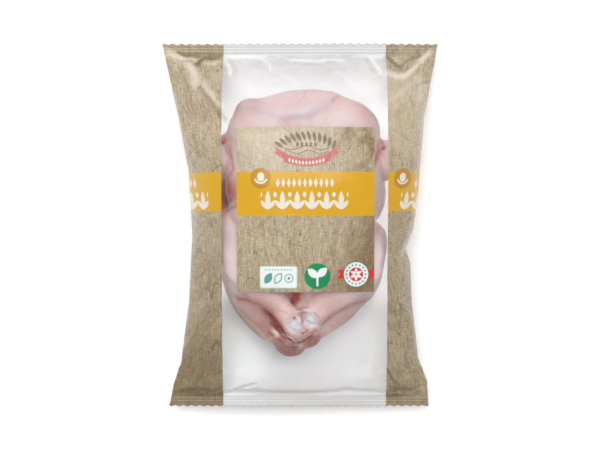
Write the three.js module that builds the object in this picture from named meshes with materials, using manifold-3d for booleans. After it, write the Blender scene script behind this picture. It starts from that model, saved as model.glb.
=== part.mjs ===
// Whole raw chicken in a sealed pillow bag, lying on its back with the window side up.
// Millimetres, +Z up, +Y towards the neck end. The origin is on the surface that the bag rests on,
// below the middle of the bag's outline. The bag and what it holds are one closed solid.
import * as THREE from "three";
import { mergeVertices } from "three/addons/utils/BufferGeometryUtils.js";
import Module from "manifold-3d";

const wasm = await Module();
wasm.setup();

// Driving dimensions of the bag.
const BAG_LENGTH = 333; // over both cut edges
const SEAL_DEPTH = 11; // crimped band at each end
const FIN_THICKNESS = 1.6; // two welded films with their crimps
const CRIMP_RIDGES = 3; // ridges across each seal
const CRIMP_HEIGHT = 0.35;
const TOOTH_PITCH = 7.4; // zigzag of the cut edges
const TOOTH_DEPTH = 2.2;
const TIP_CLEARANCE = 0.01; // the knife stays just clear of the tips
const SEAL_HEIGHT = 19; // underside of each seal above the floor
const SEAL_WAVE = 3; // rise and fall of a seal across its width
const SEAL_WAVE_LENGTH = 34; // divided into x for the phase of the wave
const NECK_PHASE = 0.6; // phase of the wave at the neck end
const FOOT_PHASE = 2.4; // phase of the wave at the foot end
const FILL_REACH = 46; // length over which the pillow swells from a seal
const LIFT_REACH = 26; // length over which the back film rises to a seal
const FLAT_SHARE = 0.78; // part of the half width that lies on the floor

// Half length of the bag, and of the part between its seals.
const END = BAG_LENGTH / 2;
const SEAL_LINE = END - SEAL_DEPTH;

// Side edges seen from above, each as [y, x] from the foot end to the neck end.
const LEFT_EDGE = [[-END, -119.5], [-145, -115.5], [-124, -109], [-70, -101.5], [-9, -97.5],
  [50, -101], [98, -110], [SEAL_LINE, -121.5], [END, -125]];
const RIGHT_EDGE = [[-END, 116], [-142, 115], [-120, 107.5], [-70, 101.5], [-32, 98.5],
  [-19, 98], [-4, 103], [50, 107], [98, 111.5], [SEAL_LINE, 121], [END, 125]];

// Crown of the film over the chicken, and the height of its side folds, each as [y, z].
const CROWN = [[-SEAL_LINE, 22], [-140, 45], [-120, 61], [-90, 76], [-50, 88], [0, 96],
  [40, 99], [72, 96], [100, 86], [120, 72], [140, 50], [SEAL_LINE, 22]];
const SIDE_FOLD = [[-SEAL_LINE, 18], [-120, 18], [-60, 20], [0, 29], [50, 33], [100, 29], [SEAL_LINE, 18]];

// How full the pillow is, as [y, share]: 0 is a tent over the crossed legs and 1 a round cushion.
const FULLNESS = [[-SEAL_LINE, 0.5], [-100, 0.1], [-60, 0.45], [-20, 0.95], [60, 1], [115, 1], [140, 0.6], [SEAL_LINE, 0.4]];
const TENT = { power: 1.7, root: 1 };
const CUSHION = { power: 3, root: 0.52 };

// What presses out through the film: [x, y] of each end, radius of the ridge and its height.
const RIDGES = [
  { name: "left drumstick", from: [-50, -52], to: [-6, -94], radius: 17, height: 4 },
  { name: "right drumstick", from: [52, -48], to: [12, -86], radius: 17, height: 3 },
  { name: "breast keel", from: [2, 0], to: [3, 96], radius: 26, height: 1.5 },
  { name: "left wing", from: [-78, 78], to: [-70, 40], radius: 15, height: 2 },
  { name: "right wing", from: [78, 76], to: [72, 36], radius: 15, height: 2 },
];

// Creases: valleys in the film, given like the ridges.
const CREASES = [
  { name: "tuck in the right side", from: [103, -6], to: [84, -34], radius: 5, height: -6 },
  { name: "fold under the left neck corner", from: [-100, 140], to: [-66, 128], radius: 6, height: -5 },
  { name: "fold under the right neck corner", from: [98, 140], to: [64, 126], radius: 6, height: -5 },
  { name: "fold at the left foot corner", from: [-96, -142], to: [-58, -132], radius: 6, height: -4 },
  { name: "fold at the right foot corner", from: [92, -140], to: [56, -128], radius: 6, height: -4 },
];

// Grid of the film: columns across, rows in each seal and rows between the seals.
const COLUMNS = 38;
const SEAL_ROWS = 2 * CRIMP_RIDGES + 1;
const BODY_ROWS = 38;
const CURVE_SAMPLES = 400;

// A smooth function of y through a few [y, value] points.
function curveThrough(points) {
  const curve = new THREE.SplineCurve(points.map(([y, value]) => new THREE.Vector2(y, value)));
  const samples = curve.getPoints(CURVE_SAMPLES);
  return (y) => {
    const after = samples.findIndex((sample) => sample.x >= y);
    if (after <= 0) return (after === 0 ? samples[0] : samples[samples.length - 1]).y;
    const [a, b] = [samples[after - 1], samples[after]];
    return THREE.MathUtils.mapLinear(y, a.x, b.x, a.y, b.y);
  };
}

const leftEdge = curveThrough(LEFT_EDGE);
const rightEdge = curveThrough(RIGHT_EDGE);
const crown = curveThrough(CROWN);
const sideFold = curveThrough(SIDE_FOLD);
const fullness = curveThrough(FULLNESS);

// The y of a row: close rows in the seals for the crimps, wide ones between them.
function stationOf(row) {
  if (row <= SEAL_ROWS) return THREE.MathUtils.mapLinear(row, 0, SEAL_ROWS, -END, -SEAL_LINE);
  if (row >= SEAL_ROWS + BODY_ROWS)
    return THREE.MathUtils.mapLinear(row, SEAL_ROWS + BODY_ROWS, 2 * SEAL_ROWS + BODY_ROWS, SEAL_LINE, END);
  return THREE.MathUtils.mapLinear(row, SEAL_ROWS, SEAL_ROWS + BODY_ROWS, -SEAL_LINE, SEAL_LINE);
}

// Height of the underside of a seal, which waves gently across the bag.
const sealHeight = (x, y) =>
  SEAL_HEIGHT + SEAL_WAVE * Math.sin(x / SEAL_WAVE_LENGTH + (y > 0 ? NECK_PHASE : FOOT_PHASE));

// Sum of the ridges or creases at a point: each is a rounded line that fades with distance.
function relief(lines, x, y) {
  return lines.reduce((sum, { from, to, radius, height }) => {
    const line = new THREE.Line3(new THREE.Vector3(...from, 0), new THREE.Vector3(...to, 0));
    const nearest = line.closestPointToPoint(new THREE.Vector3(x, y, 0), true, new THREE.Vector3());
    return sum + height * Math.exp(-(((x - nearest.x) ** 2 + (y - nearest.y) ** 2) / radius ** 2));
  }, 0);
}

// Top and bottom of the bag at a point: across is -1 at the left edge and 1 at the right edge.
function heightsAt(across, x, y) {
  const fin = sealHeight(x, y);
  if (Math.abs(y) >= SEAL_LINE - 0.01) {
    const crimp = CRIMP_HEIGHT * Math.cos(((Math.abs(y) - SEAL_LINE) / SEAL_DEPTH) * CRIMP_RIDGES * 2 * Math.PI);
    return { top: fin + FIN_THICKNESS + crimp, bottom: fin + crimp };
  }
  const fill = THREE.MathUtils.smoothstep(SEAL_LINE - Math.abs(y), 0, FILL_REACH); // 0 at a seal, 1 over the chicken
  const fold = THREE.MathUtils.lerp(fin, sideFold(y), fill);
  const power = THREE.MathUtils.lerp(TENT.power, CUSHION.power, fullness(y));
  const root = THREE.MathUtils.lerp(TENT.root, CUSHION.root, fullness(y));
  const rise = Math.max(0, crown(y) - fold) * (1 - Math.abs(across) ** power) ** root;
  const slack = Math.sqrt(Math.max(0, 1 - across ** 2)); // ridges and creases fade out at the side folds
  const top = fold + FIN_THICKNESS + rise + fill * slack * (relief(RIDGES, x, y) + relief(CREASES, x, y));
  const lift = THREE.MathUtils.smoothstep(Math.abs(y), SEAL_LINE - LIFT_REACH, SEAL_LINE); // the back film leaves the floor
  const turn = Math.max(0, (Math.abs(across) - FLAT_SHARE) / (1 - FLAT_SHARE)); // along the round lower edge
  const bottom = THREE.MathUtils.lerp(fold * (1 - Math.sqrt(Math.max(0, 1 - turn ** 2))), fin, lift);
  return { top, bottom: Math.min(bottom, top - FIN_THICKNESS) };
}

// The pillow: a box of film cells, each corner moved to its place on the bag.
function pillow() {
  const rows = 2 * SEAL_ROWS + BODY_ROWS;
  const box = new THREE.BoxGeometry(2, rows, 2, COLUMNS, rows, 1);
  const position = box.getAttribute("position");
  for (let i = 0; i < position.count; i += 1) {
    const across = position.getX(i);
    const y = stationOf(Math.round(position.getY(i) + rows / 2));
    const x = THREE.MathUtils.mapLinear(across, -1, 1, leftEdge(y), rightEdge(y));
    const { top, bottom } = heightsAt(across, x, y);
    position.setXYZ(i, x, y, position.getZ(i) > 0 ? top : bottom);
  }
  return box;
}

// The waste that the zigzag knife takes off one end, as a block with teeth along its inner side.
function knifeWaste(end) {
  const shape = new THREE.Shape();
  shape.moveTo(-END, end * (END + TOOTH_PITCH));
  for (let x = -END; x <= END; x += TOOTH_PITCH) {
    shape.lineTo(x, end * (END + TIP_CLEARANCE));
    shape.lineTo(x + TOOTH_PITCH / 2, end * (END - TOOTH_DEPTH));
  }
  shape.lineTo(END + TOOTH_PITCH, end * (END + TOOTH_PITCH));
  return new THREE.ExtrudeGeometry(shape, { depth: END, bevelEnabled: false });
}

// A closed geometry as a solid that can be cut.
function solidOf(geometry) {
  geometry.deleteAttribute("normal");
  geometry.deleteAttribute("uv");
  const merged = mergeVertices(geometry, 1e-4);
  return new wasm.Manifold(new wasm.Mesh({
    numProp: 3,
    vertProperties: merged.getAttribute("position").array,
    triVerts: new Uint32Array(merged.index.array),
  }));
}

// A cut solid as a geometry that can be shown.
function geometryOf(solid) {
  const mesh = solid.getMesh();
  const geometry = new THREE.BufferGeometry();
  geometry.setAttribute("position", new THREE.BufferAttribute(mesh.vertProperties, 3));
  geometry.setIndex(new THREE.BufferAttribute(mesh.triVerts, 1));
  geometry.computeVertexNormals();
  return geometry;
}

function filledBag() {
  const cut = solidOf(pillow()).subtract(solidOf(knifeWaste(1))).subtract(solidOf(knifeWaste(-1)));
  const film = new THREE.MeshStandardMaterial({ color: 0xb9a67f, roughness: 0.45, metalness: 0 });
  const bag = new THREE.Mesh(geometryOf(cut), film);
  bag.name = "filled_bag";
  return bag;
}

const part = new THREE.Group();
part.add(filledBag());

export default part;
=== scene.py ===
"""A whole raw chicken in a sealed pillow bag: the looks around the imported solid.

Metres, +Z up, +Y towards the neck end. Tables of shapes are in millimetres, and MM turns them into metres.
"""

import math

import bmesh
import bpy
import numpy as np
from bpy.props import FloatProperty, FloatVectorProperty, IntProperty, PointerProperty
from bpy.types import Operator, Panel, PropertyGroup
from mathutils import Matrix, Vector, noise
from mathutils.bvhtree import BVHTree


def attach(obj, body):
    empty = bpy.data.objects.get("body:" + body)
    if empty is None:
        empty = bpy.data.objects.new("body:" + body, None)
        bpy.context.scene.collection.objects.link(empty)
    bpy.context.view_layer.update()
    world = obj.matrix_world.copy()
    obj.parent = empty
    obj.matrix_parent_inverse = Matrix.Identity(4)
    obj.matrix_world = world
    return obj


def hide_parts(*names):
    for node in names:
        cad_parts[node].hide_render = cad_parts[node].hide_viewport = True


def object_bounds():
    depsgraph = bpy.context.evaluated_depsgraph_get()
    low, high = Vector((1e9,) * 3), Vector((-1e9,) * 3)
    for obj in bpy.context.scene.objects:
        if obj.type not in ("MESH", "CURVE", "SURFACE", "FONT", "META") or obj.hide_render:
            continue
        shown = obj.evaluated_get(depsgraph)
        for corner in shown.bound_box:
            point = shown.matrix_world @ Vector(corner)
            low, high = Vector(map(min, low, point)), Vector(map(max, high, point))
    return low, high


bl_info = {
    "name": "Bagged Raw Chicken",
    "version": (1, 0, 0),
    "blender": (4, 5, 0),
    "location": "View3D > Sidebar > Chicken",
    "description": "A whole raw chicken in a sealed pillow bag with a clear window",
    "category": "Object",
}

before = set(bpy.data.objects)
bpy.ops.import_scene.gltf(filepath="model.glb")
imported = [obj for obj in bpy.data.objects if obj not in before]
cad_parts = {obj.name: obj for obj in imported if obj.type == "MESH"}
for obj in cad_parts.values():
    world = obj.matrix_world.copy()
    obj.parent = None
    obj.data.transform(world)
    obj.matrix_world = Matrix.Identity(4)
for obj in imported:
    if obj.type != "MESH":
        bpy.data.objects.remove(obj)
CAD_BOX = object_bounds()

MM = 0.001
NODE = "filled_bag"

# Layers of colour that are painted on the skin. The brownish layer is painted shade, the red and lilac
# layers are partly painted shade, the fat layer is partly painted light, and the greyish layer is a painted
# haze of the film.
TINTS = ("blood_and_shade", "brown_shade", "fat_and_light", "gristle", "lilac_and_shade", "painted_haze")

# Side edges of the bag seen from above, each as (y, x) from the foot end to the neck end.
LEFT_EDGE = ((-166.5, -120), (-145, -115.5), (-124, -108.5), (-70, -101.5), (-9, -98),
             (50, -101.5), (98, -110.5), (155.5, -124), (166.5, -126.5))
RIGHT_EDGE = ((-166.5, 118), (-142, 116), (-120, 108), (-70, 102), (-34, 100.5), (-21, 97),
              (-4, 103), (25, 107.5), (50, 109), (98, 113.5), (155.5, 124.5), (166.5, 126.5))

# Start shape of the film: its crown over the bird and the height of its side folds, each as (y, z).
CROWN = ((-155.5, 22), (-130, 48), (-104, 72), (-70, 88), (-20, 102), (40, 108), (82, 104),
         (112, 84), (135, 56), (155.5, 22))
SIDE_FOLD = ((-155.5, 20), (-120, 28), (-60, 40), (0, 44), (60, 44), (115, 34), (155.5, 20))

# The seals rise and fall across the bag: height and length of the wave, and its phase at each end.
SEAL_WAVE = 3
SEAL_WAVE_LENGTH = 34
NECK_PHASE = 0.6
FOOT_PHASE = 2.4

# Shape of the pillow at the start: how far from a seal it swells and its back lifts, the gap between the
# two films in a seal, the parts of the half width that lie flat and that turn up, and the rows in a seal.
FILL_REACH = 46
LIFT_REACH = 30
SEAL_GAP = 0.4
FLAT_SHARE = 0.6
TURN_SHARE = 0.4
SEAL_ROWS = 8

# Crimps of a seal: their height, their number, and the part of the seal that the teeth bend.
CRIMP_HEIGHT = 0.34
CRIMPS = 4.0
TOOTHED_SHARE = 0.45

# Settings of the cloth simulation and of its contacts.
CLOTH = {
    "quality": 6,
    "mass": 0.05,
    "tension_stiffness": 60,
    "compression_stiffness": 30,
    "shear_stiffness": 30,
    "bending_stiffness": 2,
    "tension_damping": 8,
    "compression_damping": 8,
    "shear_damping": 8,
    "bending_damping": 0.8,
    "pin_stiffness": 1,
}
CONTACT = {"distance_min": 0.001, "collision_quality": 3, "friction": 3, "use_self_collision": False}

# What the film settles on and around: half side of the floor, depth of the contact in metres, and friction.
TABLE_HALF = 0.4
COLLISION_DEPTH = 0.01
COLLISION_FRICTION = 4

# Gaps in metres: film to floor and film to skin while it settles, and film to skin once it is finished.
FLOOR_GAP = 0.0006
SKIN_GAP = 0.0012
LEAST_GAP = 0.0008

# How far from the film the nearest skin is looked for, in metres, and how often the film is relaxed and
# lifted off the skin.
SEARCH_REACH = 0.02
RELAX_ROUNDS = 6

# The film is drawn in to its outline outside this half width, in rows of this depth. Both in metres.
LOOSE_FROM = 0.068
ROW_DEPTH = 0.002

# Thickness in metres of the white inner face, and how far inside the film it lies.
LINER_THICKNESS = 0.00006
LINER_INSET = 0.00017

# Height in metres of the bird's back above the floor, and over how much of it the back is flattened.
BACK_HEIGHT = 0.0032
BACK_SOFTNESS = 0.004

# Masses of the bird: (place), (half sizes), turn about Z in degrees.
TRUNK = (
    ((3, 14, 46), (57, 98, 42), 0),
    ((-26, 46, 60), (41, 68, 34), -5),  # breast
    ((33, 46, 60), (41, 68, 34), 5),
    ((-33, 82, 48), (33, 33, 37), 0),  # shoulders
    ((40, 82, 48), (33, 32, 37), 0),
    ((-42, 96.5, 50), (19, 18.5, 28), 0),
    ((-20, 98, 50), (24, 20, 28), 0),
    ((46, 92, 50), (18.5, 18, 28), 0),
    ((7, 93, 50), (52, 30, 34), 0),  # neck end
    ((4, 44, 24), (75, 62, 22), 0),  # back
    ((-62, 26, 28), (14, 28, 22), 0),
    ((62, 28, 32), (16, 28, 24), 0),
    ((3, 20, 76), (14, 66, 18), 0),  # keel
)
HAUNCHES = (
    ((2, -52, 36), (50, 40, 28), 0),
    ((-48, -22, 38), (25, 38, 33), 6),
    ((50, -36, 38), (26, 39, 33), -5),
)
TAIL = (
    ((-9, -98, 27), (21, 16, 16), 0),
    ((-9, -109, 26), (14.5, 11, 12.5), 0),
    ((9, -103, 30), (11, 8.5, 11), 28),
)
# Limbs of the bird: stations of (x, y, z, half width, half height).
FLANKS = (
    ((-50, -26, 38, 24, 30), (-44, -60, 35, 23, 28), (-28, -85, 30, 19, 22), (-14, -98, 25, 14, 15)),
    ((52, -26, 38, 24, 30), (43, -57, 35, 21, 28), (26, -79, 30, 18, 22), (8, -95, 25, 13, 15)),
)
LEFT_LEG = (
    ((-60, 0, 50, 17, 19), (-53, -24, 56, 22, 22), (-36, -50, 60, 18.5, 19), (-15, -73, 64, 12.5, 13),
     (-7, -85, 66, 11, 11.5), (-3.5, -92, 66, 11.5, 11)),
)
RIGHT_LEG = (
    ((62, -12, 48, 17, 19), (55, -34, 55, 21, 21), (38, -53, 59, 20, 19), (22, -67, 61, 16.5, 15),
     (13, -78, 61, 12.5, 12), (9, -85, 62, 11, 11)),
    ((7, -84, 61, 8, 9), (11, -93, 57, 7.5, 9)),
)
WINGS = (
    ((-58, 78, 46, 9, 11), (-71, 70, 54, 8.5, 11), (-70, 58, 56, 8, 12), (-66, 49, 51, 7, 10)),
    ((-72, 56, 44, 10, 11), (-75, 62, 29, 11, 11), (-58, 74, 20, 9, 9)),
    ((64, 67, 42, 9, 11), (82, 67, 53, 10, 12), (81, 57, 57, 11, 13), (74, 47, 53, 9.5, 11)),
    ((82, 54, 42, 11, 11), (82, 62, 29, 11, 11), (64, 74, 20, 9, 9)),
)
# Small lips of skin and fat at the tail and around the hocks.
LIPS = (
    ((-25, -94, 43, 2.8, 3.2), (-20.5, -97.4, 48, 5.2, 5.2), (-16, -99, 46, 3.2, 3.4)),
    ((-15.5, -101.4, 46, 2.6, 2.8), (-10, -104.2, 49.5, 4.8, 4.6), (-3.5, -107.5, 45, 2.6, 2.4)),
    ((-27, -104, 34, 1.6, 2), (-20, -109, 35, 2.2, 2.4), (-13, -114, 34, 1.8, 2)),
    ((-12, -68, 60, 5, 6), (-3, -71.5, 62, 6, 7), (7, -69, 60, 6, 7)),
    ((-11, -109, 36, 1.8, 2), (-1, -108.5, 38, 2.4, 2.4), (7, -101, 40, 1.8, 2)),
    ((-11, -94, 71, 1.6, 2), (-8, -99, 70, 2.3, 2.4), (-1, -102.5, 68, 2.4, 2.4), (8, -98, 66, 2, 2),
     (17, -92, 62, 1.6, 2)),
    ((2.5, -97, 70, 1.4, 1.6), (9, -92, 70, 2.2, 2.2), (16, -88, 66, 1.6, 1.6)),
    ((0, -77, 73, 1.5, 1.6), (6, -76, 73, 2.4, 2), (13, -78, 71, 1.8, 1.6)),
)
# The part of the skin around the hocks and the tail that has the finer mesh, in millimetres.
FINE_LOW, FINE_HIGH = (-36, -124, 16), (28, -66, 90)

# Folds of skin. Each has its path of (x, y), the rise on the left of the path, the sink on its right, the
# reach of both, the lowest z that it touches, and the layer, strength and reach of its tint.
FOLDS = (
    # Painted shade: the lilac tint of this fold darkens the skin along it.
    (((-56, 106), (-44, 107), (-28, 101.5), (-10, 97), (6, 97.5), (18, 104), (26, 110)),
     0.5, 1.4, 13, 12, 40, "lilac_and_shade", 0.65, 9),
    (((8, 121), (4, 114), (-2, 107)), 0.5, 0.4, 4, 4, 40, "lilac_and_shade", 0.12, 3),
    (((24, 119), (18, 112), (8, 107)), 0.5, 0.4, 4, 4, 40, "lilac_and_shade", 0.12, 3),
    (((-55, -66), (-35, -70.5), (-26, -79), (-18.5, -90.5), (-11.5, -99.5), (-3, -105)),
     0.6, 3.0, 4, 3.4, 20, "blood_and_shade", 0.62, 4.2),
    (((-27, -78), (-20, -89), (-15, -96)), 0, 1.2, 3, 3, 20, "blood_and_shade", 0.9, 3),
    (((19.5, -86.5), (27, -81), (36, -76), (47, -71), (58, -68)), 0.6, 2.0, 4, 2.4, 20, "blood_and_shade", 0.4, 3),
    (((-15.5, -98), (-9.5, -100.5), (-3, -105)), -2.6, 2.6, 1.8, 1.8, 20, "blood_and_shade", 1.0, 2.4),
    (((-2, -107), (3, -104), (9, -100), (15, -95)), -1.4, 1.4, 2, 2, 20, "blood_and_shade", 0.7, 2.2),
    (((-4, -108), (-5, -113), (-4, -121)), -1.1, 1.1, 2, 2, 10, "blood_and_shade", 0.5, 2.6),
    (((-25, -89), (-20.5, -93), (-15, -95)), -1.2, 1.6, 1.8, 1.8, 20, "blood_and_shade", 0.8, 2.2),
    (((-27, -97), (-22, -101.5), (-15, -104), (-9, -108), (-3, -111)),
     0.4, 1.8, 1.6, 2.2, 20, "blood_and_shade", 0.75, 2.4),
    (((-24, -106), (-17, -111), (-10, -116)), 0.3, 1.0, 2, 2, 12, "blood_and_shade", 0.3, 1.8),
    (((17, -101), (13, -105), (9, -106), (4, -113)), -1.2, 0.6, 2, 3, 10, "blood_and_shade", 0.3, 2.5),
    # Painted shade: a brownish tint along this fold at the side of the tail.
    (((-32, -101.5), (-25, -98.5)), 0.6, 1.2, 3, 2, 10, "brown_shade", 0.5, 2),
    # Painted highlight: the pale tint of this fold is a line along the rim of the left flank.
    (((-62, -68), (-50.5, -84.5), (-35, -98), (-26, -109)), 0.7, 0.5, 2.6, 4, 12, "fat_and_light", 0.38, 1.8),
    # Painted shade: a brownish band along the outer edge of the left flank.
    (((-68, -62), (-56, -74), (-42, -88), (-30, -101)), 0.2, 0.8, 3, 3, 12, "brown_shade", 0.25, 3),
    (((2.3, -81), (3.4, -86), (4.4, -91), (7, -96.5)), -2.4, 2.4, 1.5, 1.5, 55, "blood_and_shade", 0.3, 1.6),
    (((-5, -68), (-1, -73), (1, -78)), -0.9, 0.9, 2, 2, 55, "blood_and_shade", 0.2, 2.5),
    (((-16, -77), (-9, -80), (-6, -83)), 0.5, 0.7, 2, 1.6, 55, "blood_and_shade", 0.12, 2),
    (((14, -79), (19, -86), (19, -94)), 0.4, 1.0, 2, 2, 50, "blood_and_shade", 0.2, 2),
    (((-68, 77), (-64.5, 68), (-62, 59), (-60, 50), (-63, 44)), -0.8, 1.4, 2, 2.5, 30, "blood_and_shade", 0.42, 2),
    (((65, 50), (69, 60), (73, 70), (74, 75)), -1.8, 0.6, 2, 3, 30, "blood_and_shade", 0.6, 1.8),
    (((-6, -46), (-5, -58), (-4, -67)), -2.0, 2.0, 4, 4, 25, "blood_and_shade", 1.0, 5),
    (((-66, 14), (-58, 17), (-50, 16)), 0.6, 1.2, 3, 3, 25, "blood_and_shade", 0.35, 3),
    (((70, -4), (74, 2), (77, 8)), -0.6, 0.9, 3, 3, 25, "blood_and_shade", 0.25, 3),
)
# Dents: x, y, radius, depth, and redness, which paints blood red and painted shade into the dent.
DENTS = (
    (-4, -63, 5.0, 1.6, 1.0),
    (-4.5, -83.3, 1.5, 2.4, 1.0),
    (-0.5, -79, 1.0, 1.0, 0.8),
    (3.2, -97.4, 1.4, 1.8, 0.9),
    (-5, -98.5, 1.0, 1.2, 0.6),
    (-69.5, 76, 4.0, 2.6, 1.0),
    (74, 70, 2.6, 2.4, 1.0),
    (-67, 21, 5.5, 4.5, 0.95),
)
# Cups of skin around the joint ends: x, y, half sizes, turn in degrees, rise of the rim, depth inside it.
CUPS = (
    (-4, -90, 9.6, 7.0, -43, 0.9, 3.0),
    (9.8, -84.6, 8.6, 6.4, -25, 0.45, 2.4),
)
# The skin sinks into a cup only above this height in metres.
CUP_LOW = 0.055

# Crumpled skin around the hocks: its middle and its reach in millimetres.
HOCKS = (2, -94)
HOCKS_REACH = 20

# Heights in millimetres of the broad, the fine and the crumpled lumps of the skin.
BROAD_LUMPS = 1.2
FINE_LUMPS = 0.35
CRUMPLED_LUMPS = 0.75

# Patches of another tint, among them painted light and painted shade: layer, x, y, radius, strength.
PATCHES = (
    ("blood_and_shade", 60, 104, 14, 0.2),
    ("blood_and_shade", -58, 99, 8, 0.1),
    ("lilac_and_shade", -48, 108, 8, 0.7),
    ("blood_and_shade", -4, -60, 8, 1.0),
    # Painted shade: the next three patches darken the gap between the left wing and thigh.
    ("blood_and_shade", -69, 37, 7, 1.0),
    ("blood_and_shade", -69, 30, 12, 1.0),
    ("blood_and_shade", -70, 14, 6, 0.7),
    ("blood_and_shade", -7, -80.5, 5, 0.2),
    ("blood_and_shade", 2, -99, 8, 0.22),
    ("blood_and_shade", 11, -105, 7, 0.35),
    ("blood_and_shade", -68, -34, 9, 0.14),
    ("blood_and_shade", 1.5, -76.5, 4, 0.32),
    ("blood_and_shade", -11.5, -94, 2.6, 0.3),
    ("blood_and_shade", -23, -82, 7, 0.25),
    ("blood_and_shade", -14, -66, 12, 0.08),
    ("blood_and_shade", 12, -106, 5, 0.35),
    ("blood_and_shade", 74, 12, 6, 0.3),
    ("brown_shade", -50, -78, 24, 0.9),
    ("brown_shade", -34, -92, 18, 0.95),
    ("brown_shade", -12, -113, 20, 1.0),
    ("brown_shade", 10, -108, 14, 0.9),
    ("brown_shade", 46, -86, 20, 0.5),
    ("brown_shade", -30, -80, 15, 0.85),
    ("brown_shade", 30, -68, 14, 0.4),
    ("brown_shade", 66, -66, 16, 0.1),
    ("brown_shade", -66, 28, 14, 0.8),
    ("fat_and_light", -20.5, -97.4, 4.4, 0.9),
    ("fat_and_light", -9.5, -104, 3.6, 0.9),
    ("gristle", -20, -97, 3.4, 0.6),
    ("gristle", -10, -104, 3.8, 0.7),
    ("gristle", 3, -87, 4, 0.4),
    ("fat_and_light", -1, -108.5, 3.4, 0.55),
    ("fat_and_light", 13, -93, 5, 0.5),
    ("fat_and_light", -8, -100, 3, 0.35),
    ("lilac_and_shade", -4, 108, 24, 0.42),
    ("fat_and_light", -14, -72, 9, 0.25),
    ("fat_and_light", -17, -80, 6, 0.3),
    ("fat_and_light", 8, -76, 5, 0.3),
    ("gristle", -4, -90, 9, 0.9),
    ("gristle", 9.8, -84.6, 8.5, 0.9),
    ("gristle", -3, -80, 4, 0.25),
    ("lilac_and_shade", -66, -28, 16, 0.55),
    ("lilac_and_shade", -57, -66, 14, 0.75),
    ("lilac_and_shade", 58, -66, 13, 0.6),
    # Painted haze: a greyish cast for the film over the thighs and beside the wings.
    ("painted_haze", -58, -66, 15, 0.45),
    ("painted_haze", 57, -66, 14, 0.38),
    ("painted_haze", -67, 68, 8, 0.25),
    ("painted_haze", 73, 77, 6, 0.15),
    # Painted light: the next two patches lighten the shaded edge of the right wing and the left shoulder.
    ("fat_and_light", 72, 78, 6, 0.5),
    ("fat_and_light", -62, 95, 8, 0.3),
    ("lilac_and_shade", 70, 78, 9, 0.6),
    ("lilac_and_shade", -40, 60, 30, 0.2),
    ("lilac_and_shade", -66, 2, 12, 0.7),
    ("lilac_and_shade", -68, -14, 15, 0.95),
    ("brown_shade", -70, -12, 12, 0.3),
    ("lilac_and_shade", 72, 24, 17, 0.75),
    ("lilac_and_shade", 44, -60, 10, 0.3),
    ("brown_shade", -43, 107, 11, 0.4),
    ("lilac_and_shade", -58, 92, 12, 0.4),
    ("lilac_and_shade", 70, -50, 12, 0.4),
    ("lilac_and_shade", 74, -28, 18, 0.75),
    ("lilac_and_shade", -63, 30, 9, 0.5),
)
# Cartilage ends: masses of (place), (half sizes), turn about Z.
KNUCKLES = (
    ((-4.2, -90, 70.3), (8.2, 5.9, 6.8), -43),
    ((9.9, -84.7, 65.8), (7.2, 4.9, 6.8), -25),
)

# Folds in the film: the path of (x, y), the rise on its left, the sink on its right, and the reach of both.
FILM_FOLDS = (
    (((-117, 155), (-108, 148), (-99, 151), (-91, 146), (-84, 152)), 1.6, 1.8, 3.5, 4),
    (((-92, 150), (-86, 139), (-80, 133)), 1.0, 1.2, 4, 4),
    (((-92, 124), (-84, 112), (-74, 98), (-66, 92)), 1.4, 1.2, 7, 5),
    (((118, 156), (110, 146), (100, 140), (90, 139), (82, 143)), 1.2, 2.4, 6, 3.5),
    (((96, 152), (90, 146), (83, 150)), 1.4, 1.2, 3, 3),
    (((104, 128), (92, 112), (84, 104)), 0.8, 0.8, 6, 5),
    (((-46, 150), (-44, 138), (-47, 128)), 0.5, 0.6, 3.5, 3.5),
    (((56, 151), (60, 140), (58, 128)), 0.7, 0.8, 3.5, 4),
    (((-4, 147), (14, 149), (38, 147)), 0.5, 0.7, 2.5, 2.5),
    (((-112, -152), (-84, -147), (-64, -149), (-40, -152), (-12, -149), (14, -151), (44, -148), (80, -151),
      (110, -153)), 0.9, 1.4, 2.4, 2.8),
    (((-58, -143), (-50, -148), (-46, -152)), 1.2, 0.8, 2.5, 2.5),
    (((-40, -145), (-30, -149), (-20, -148)), 0.6, 0.6, 2.5, 2.5),
    (((36, -147), (50, -144), (66, -146)), 0.5, 0.6, 2.5, 2.5),
    (((-100, -128), (-88, -139), (-80, -150)), 1.0, 1.0, 5, 4),
    (((100, -124), (92, -138), (88, -150)), 1.0, 1.0, 5, 4),
)

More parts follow.
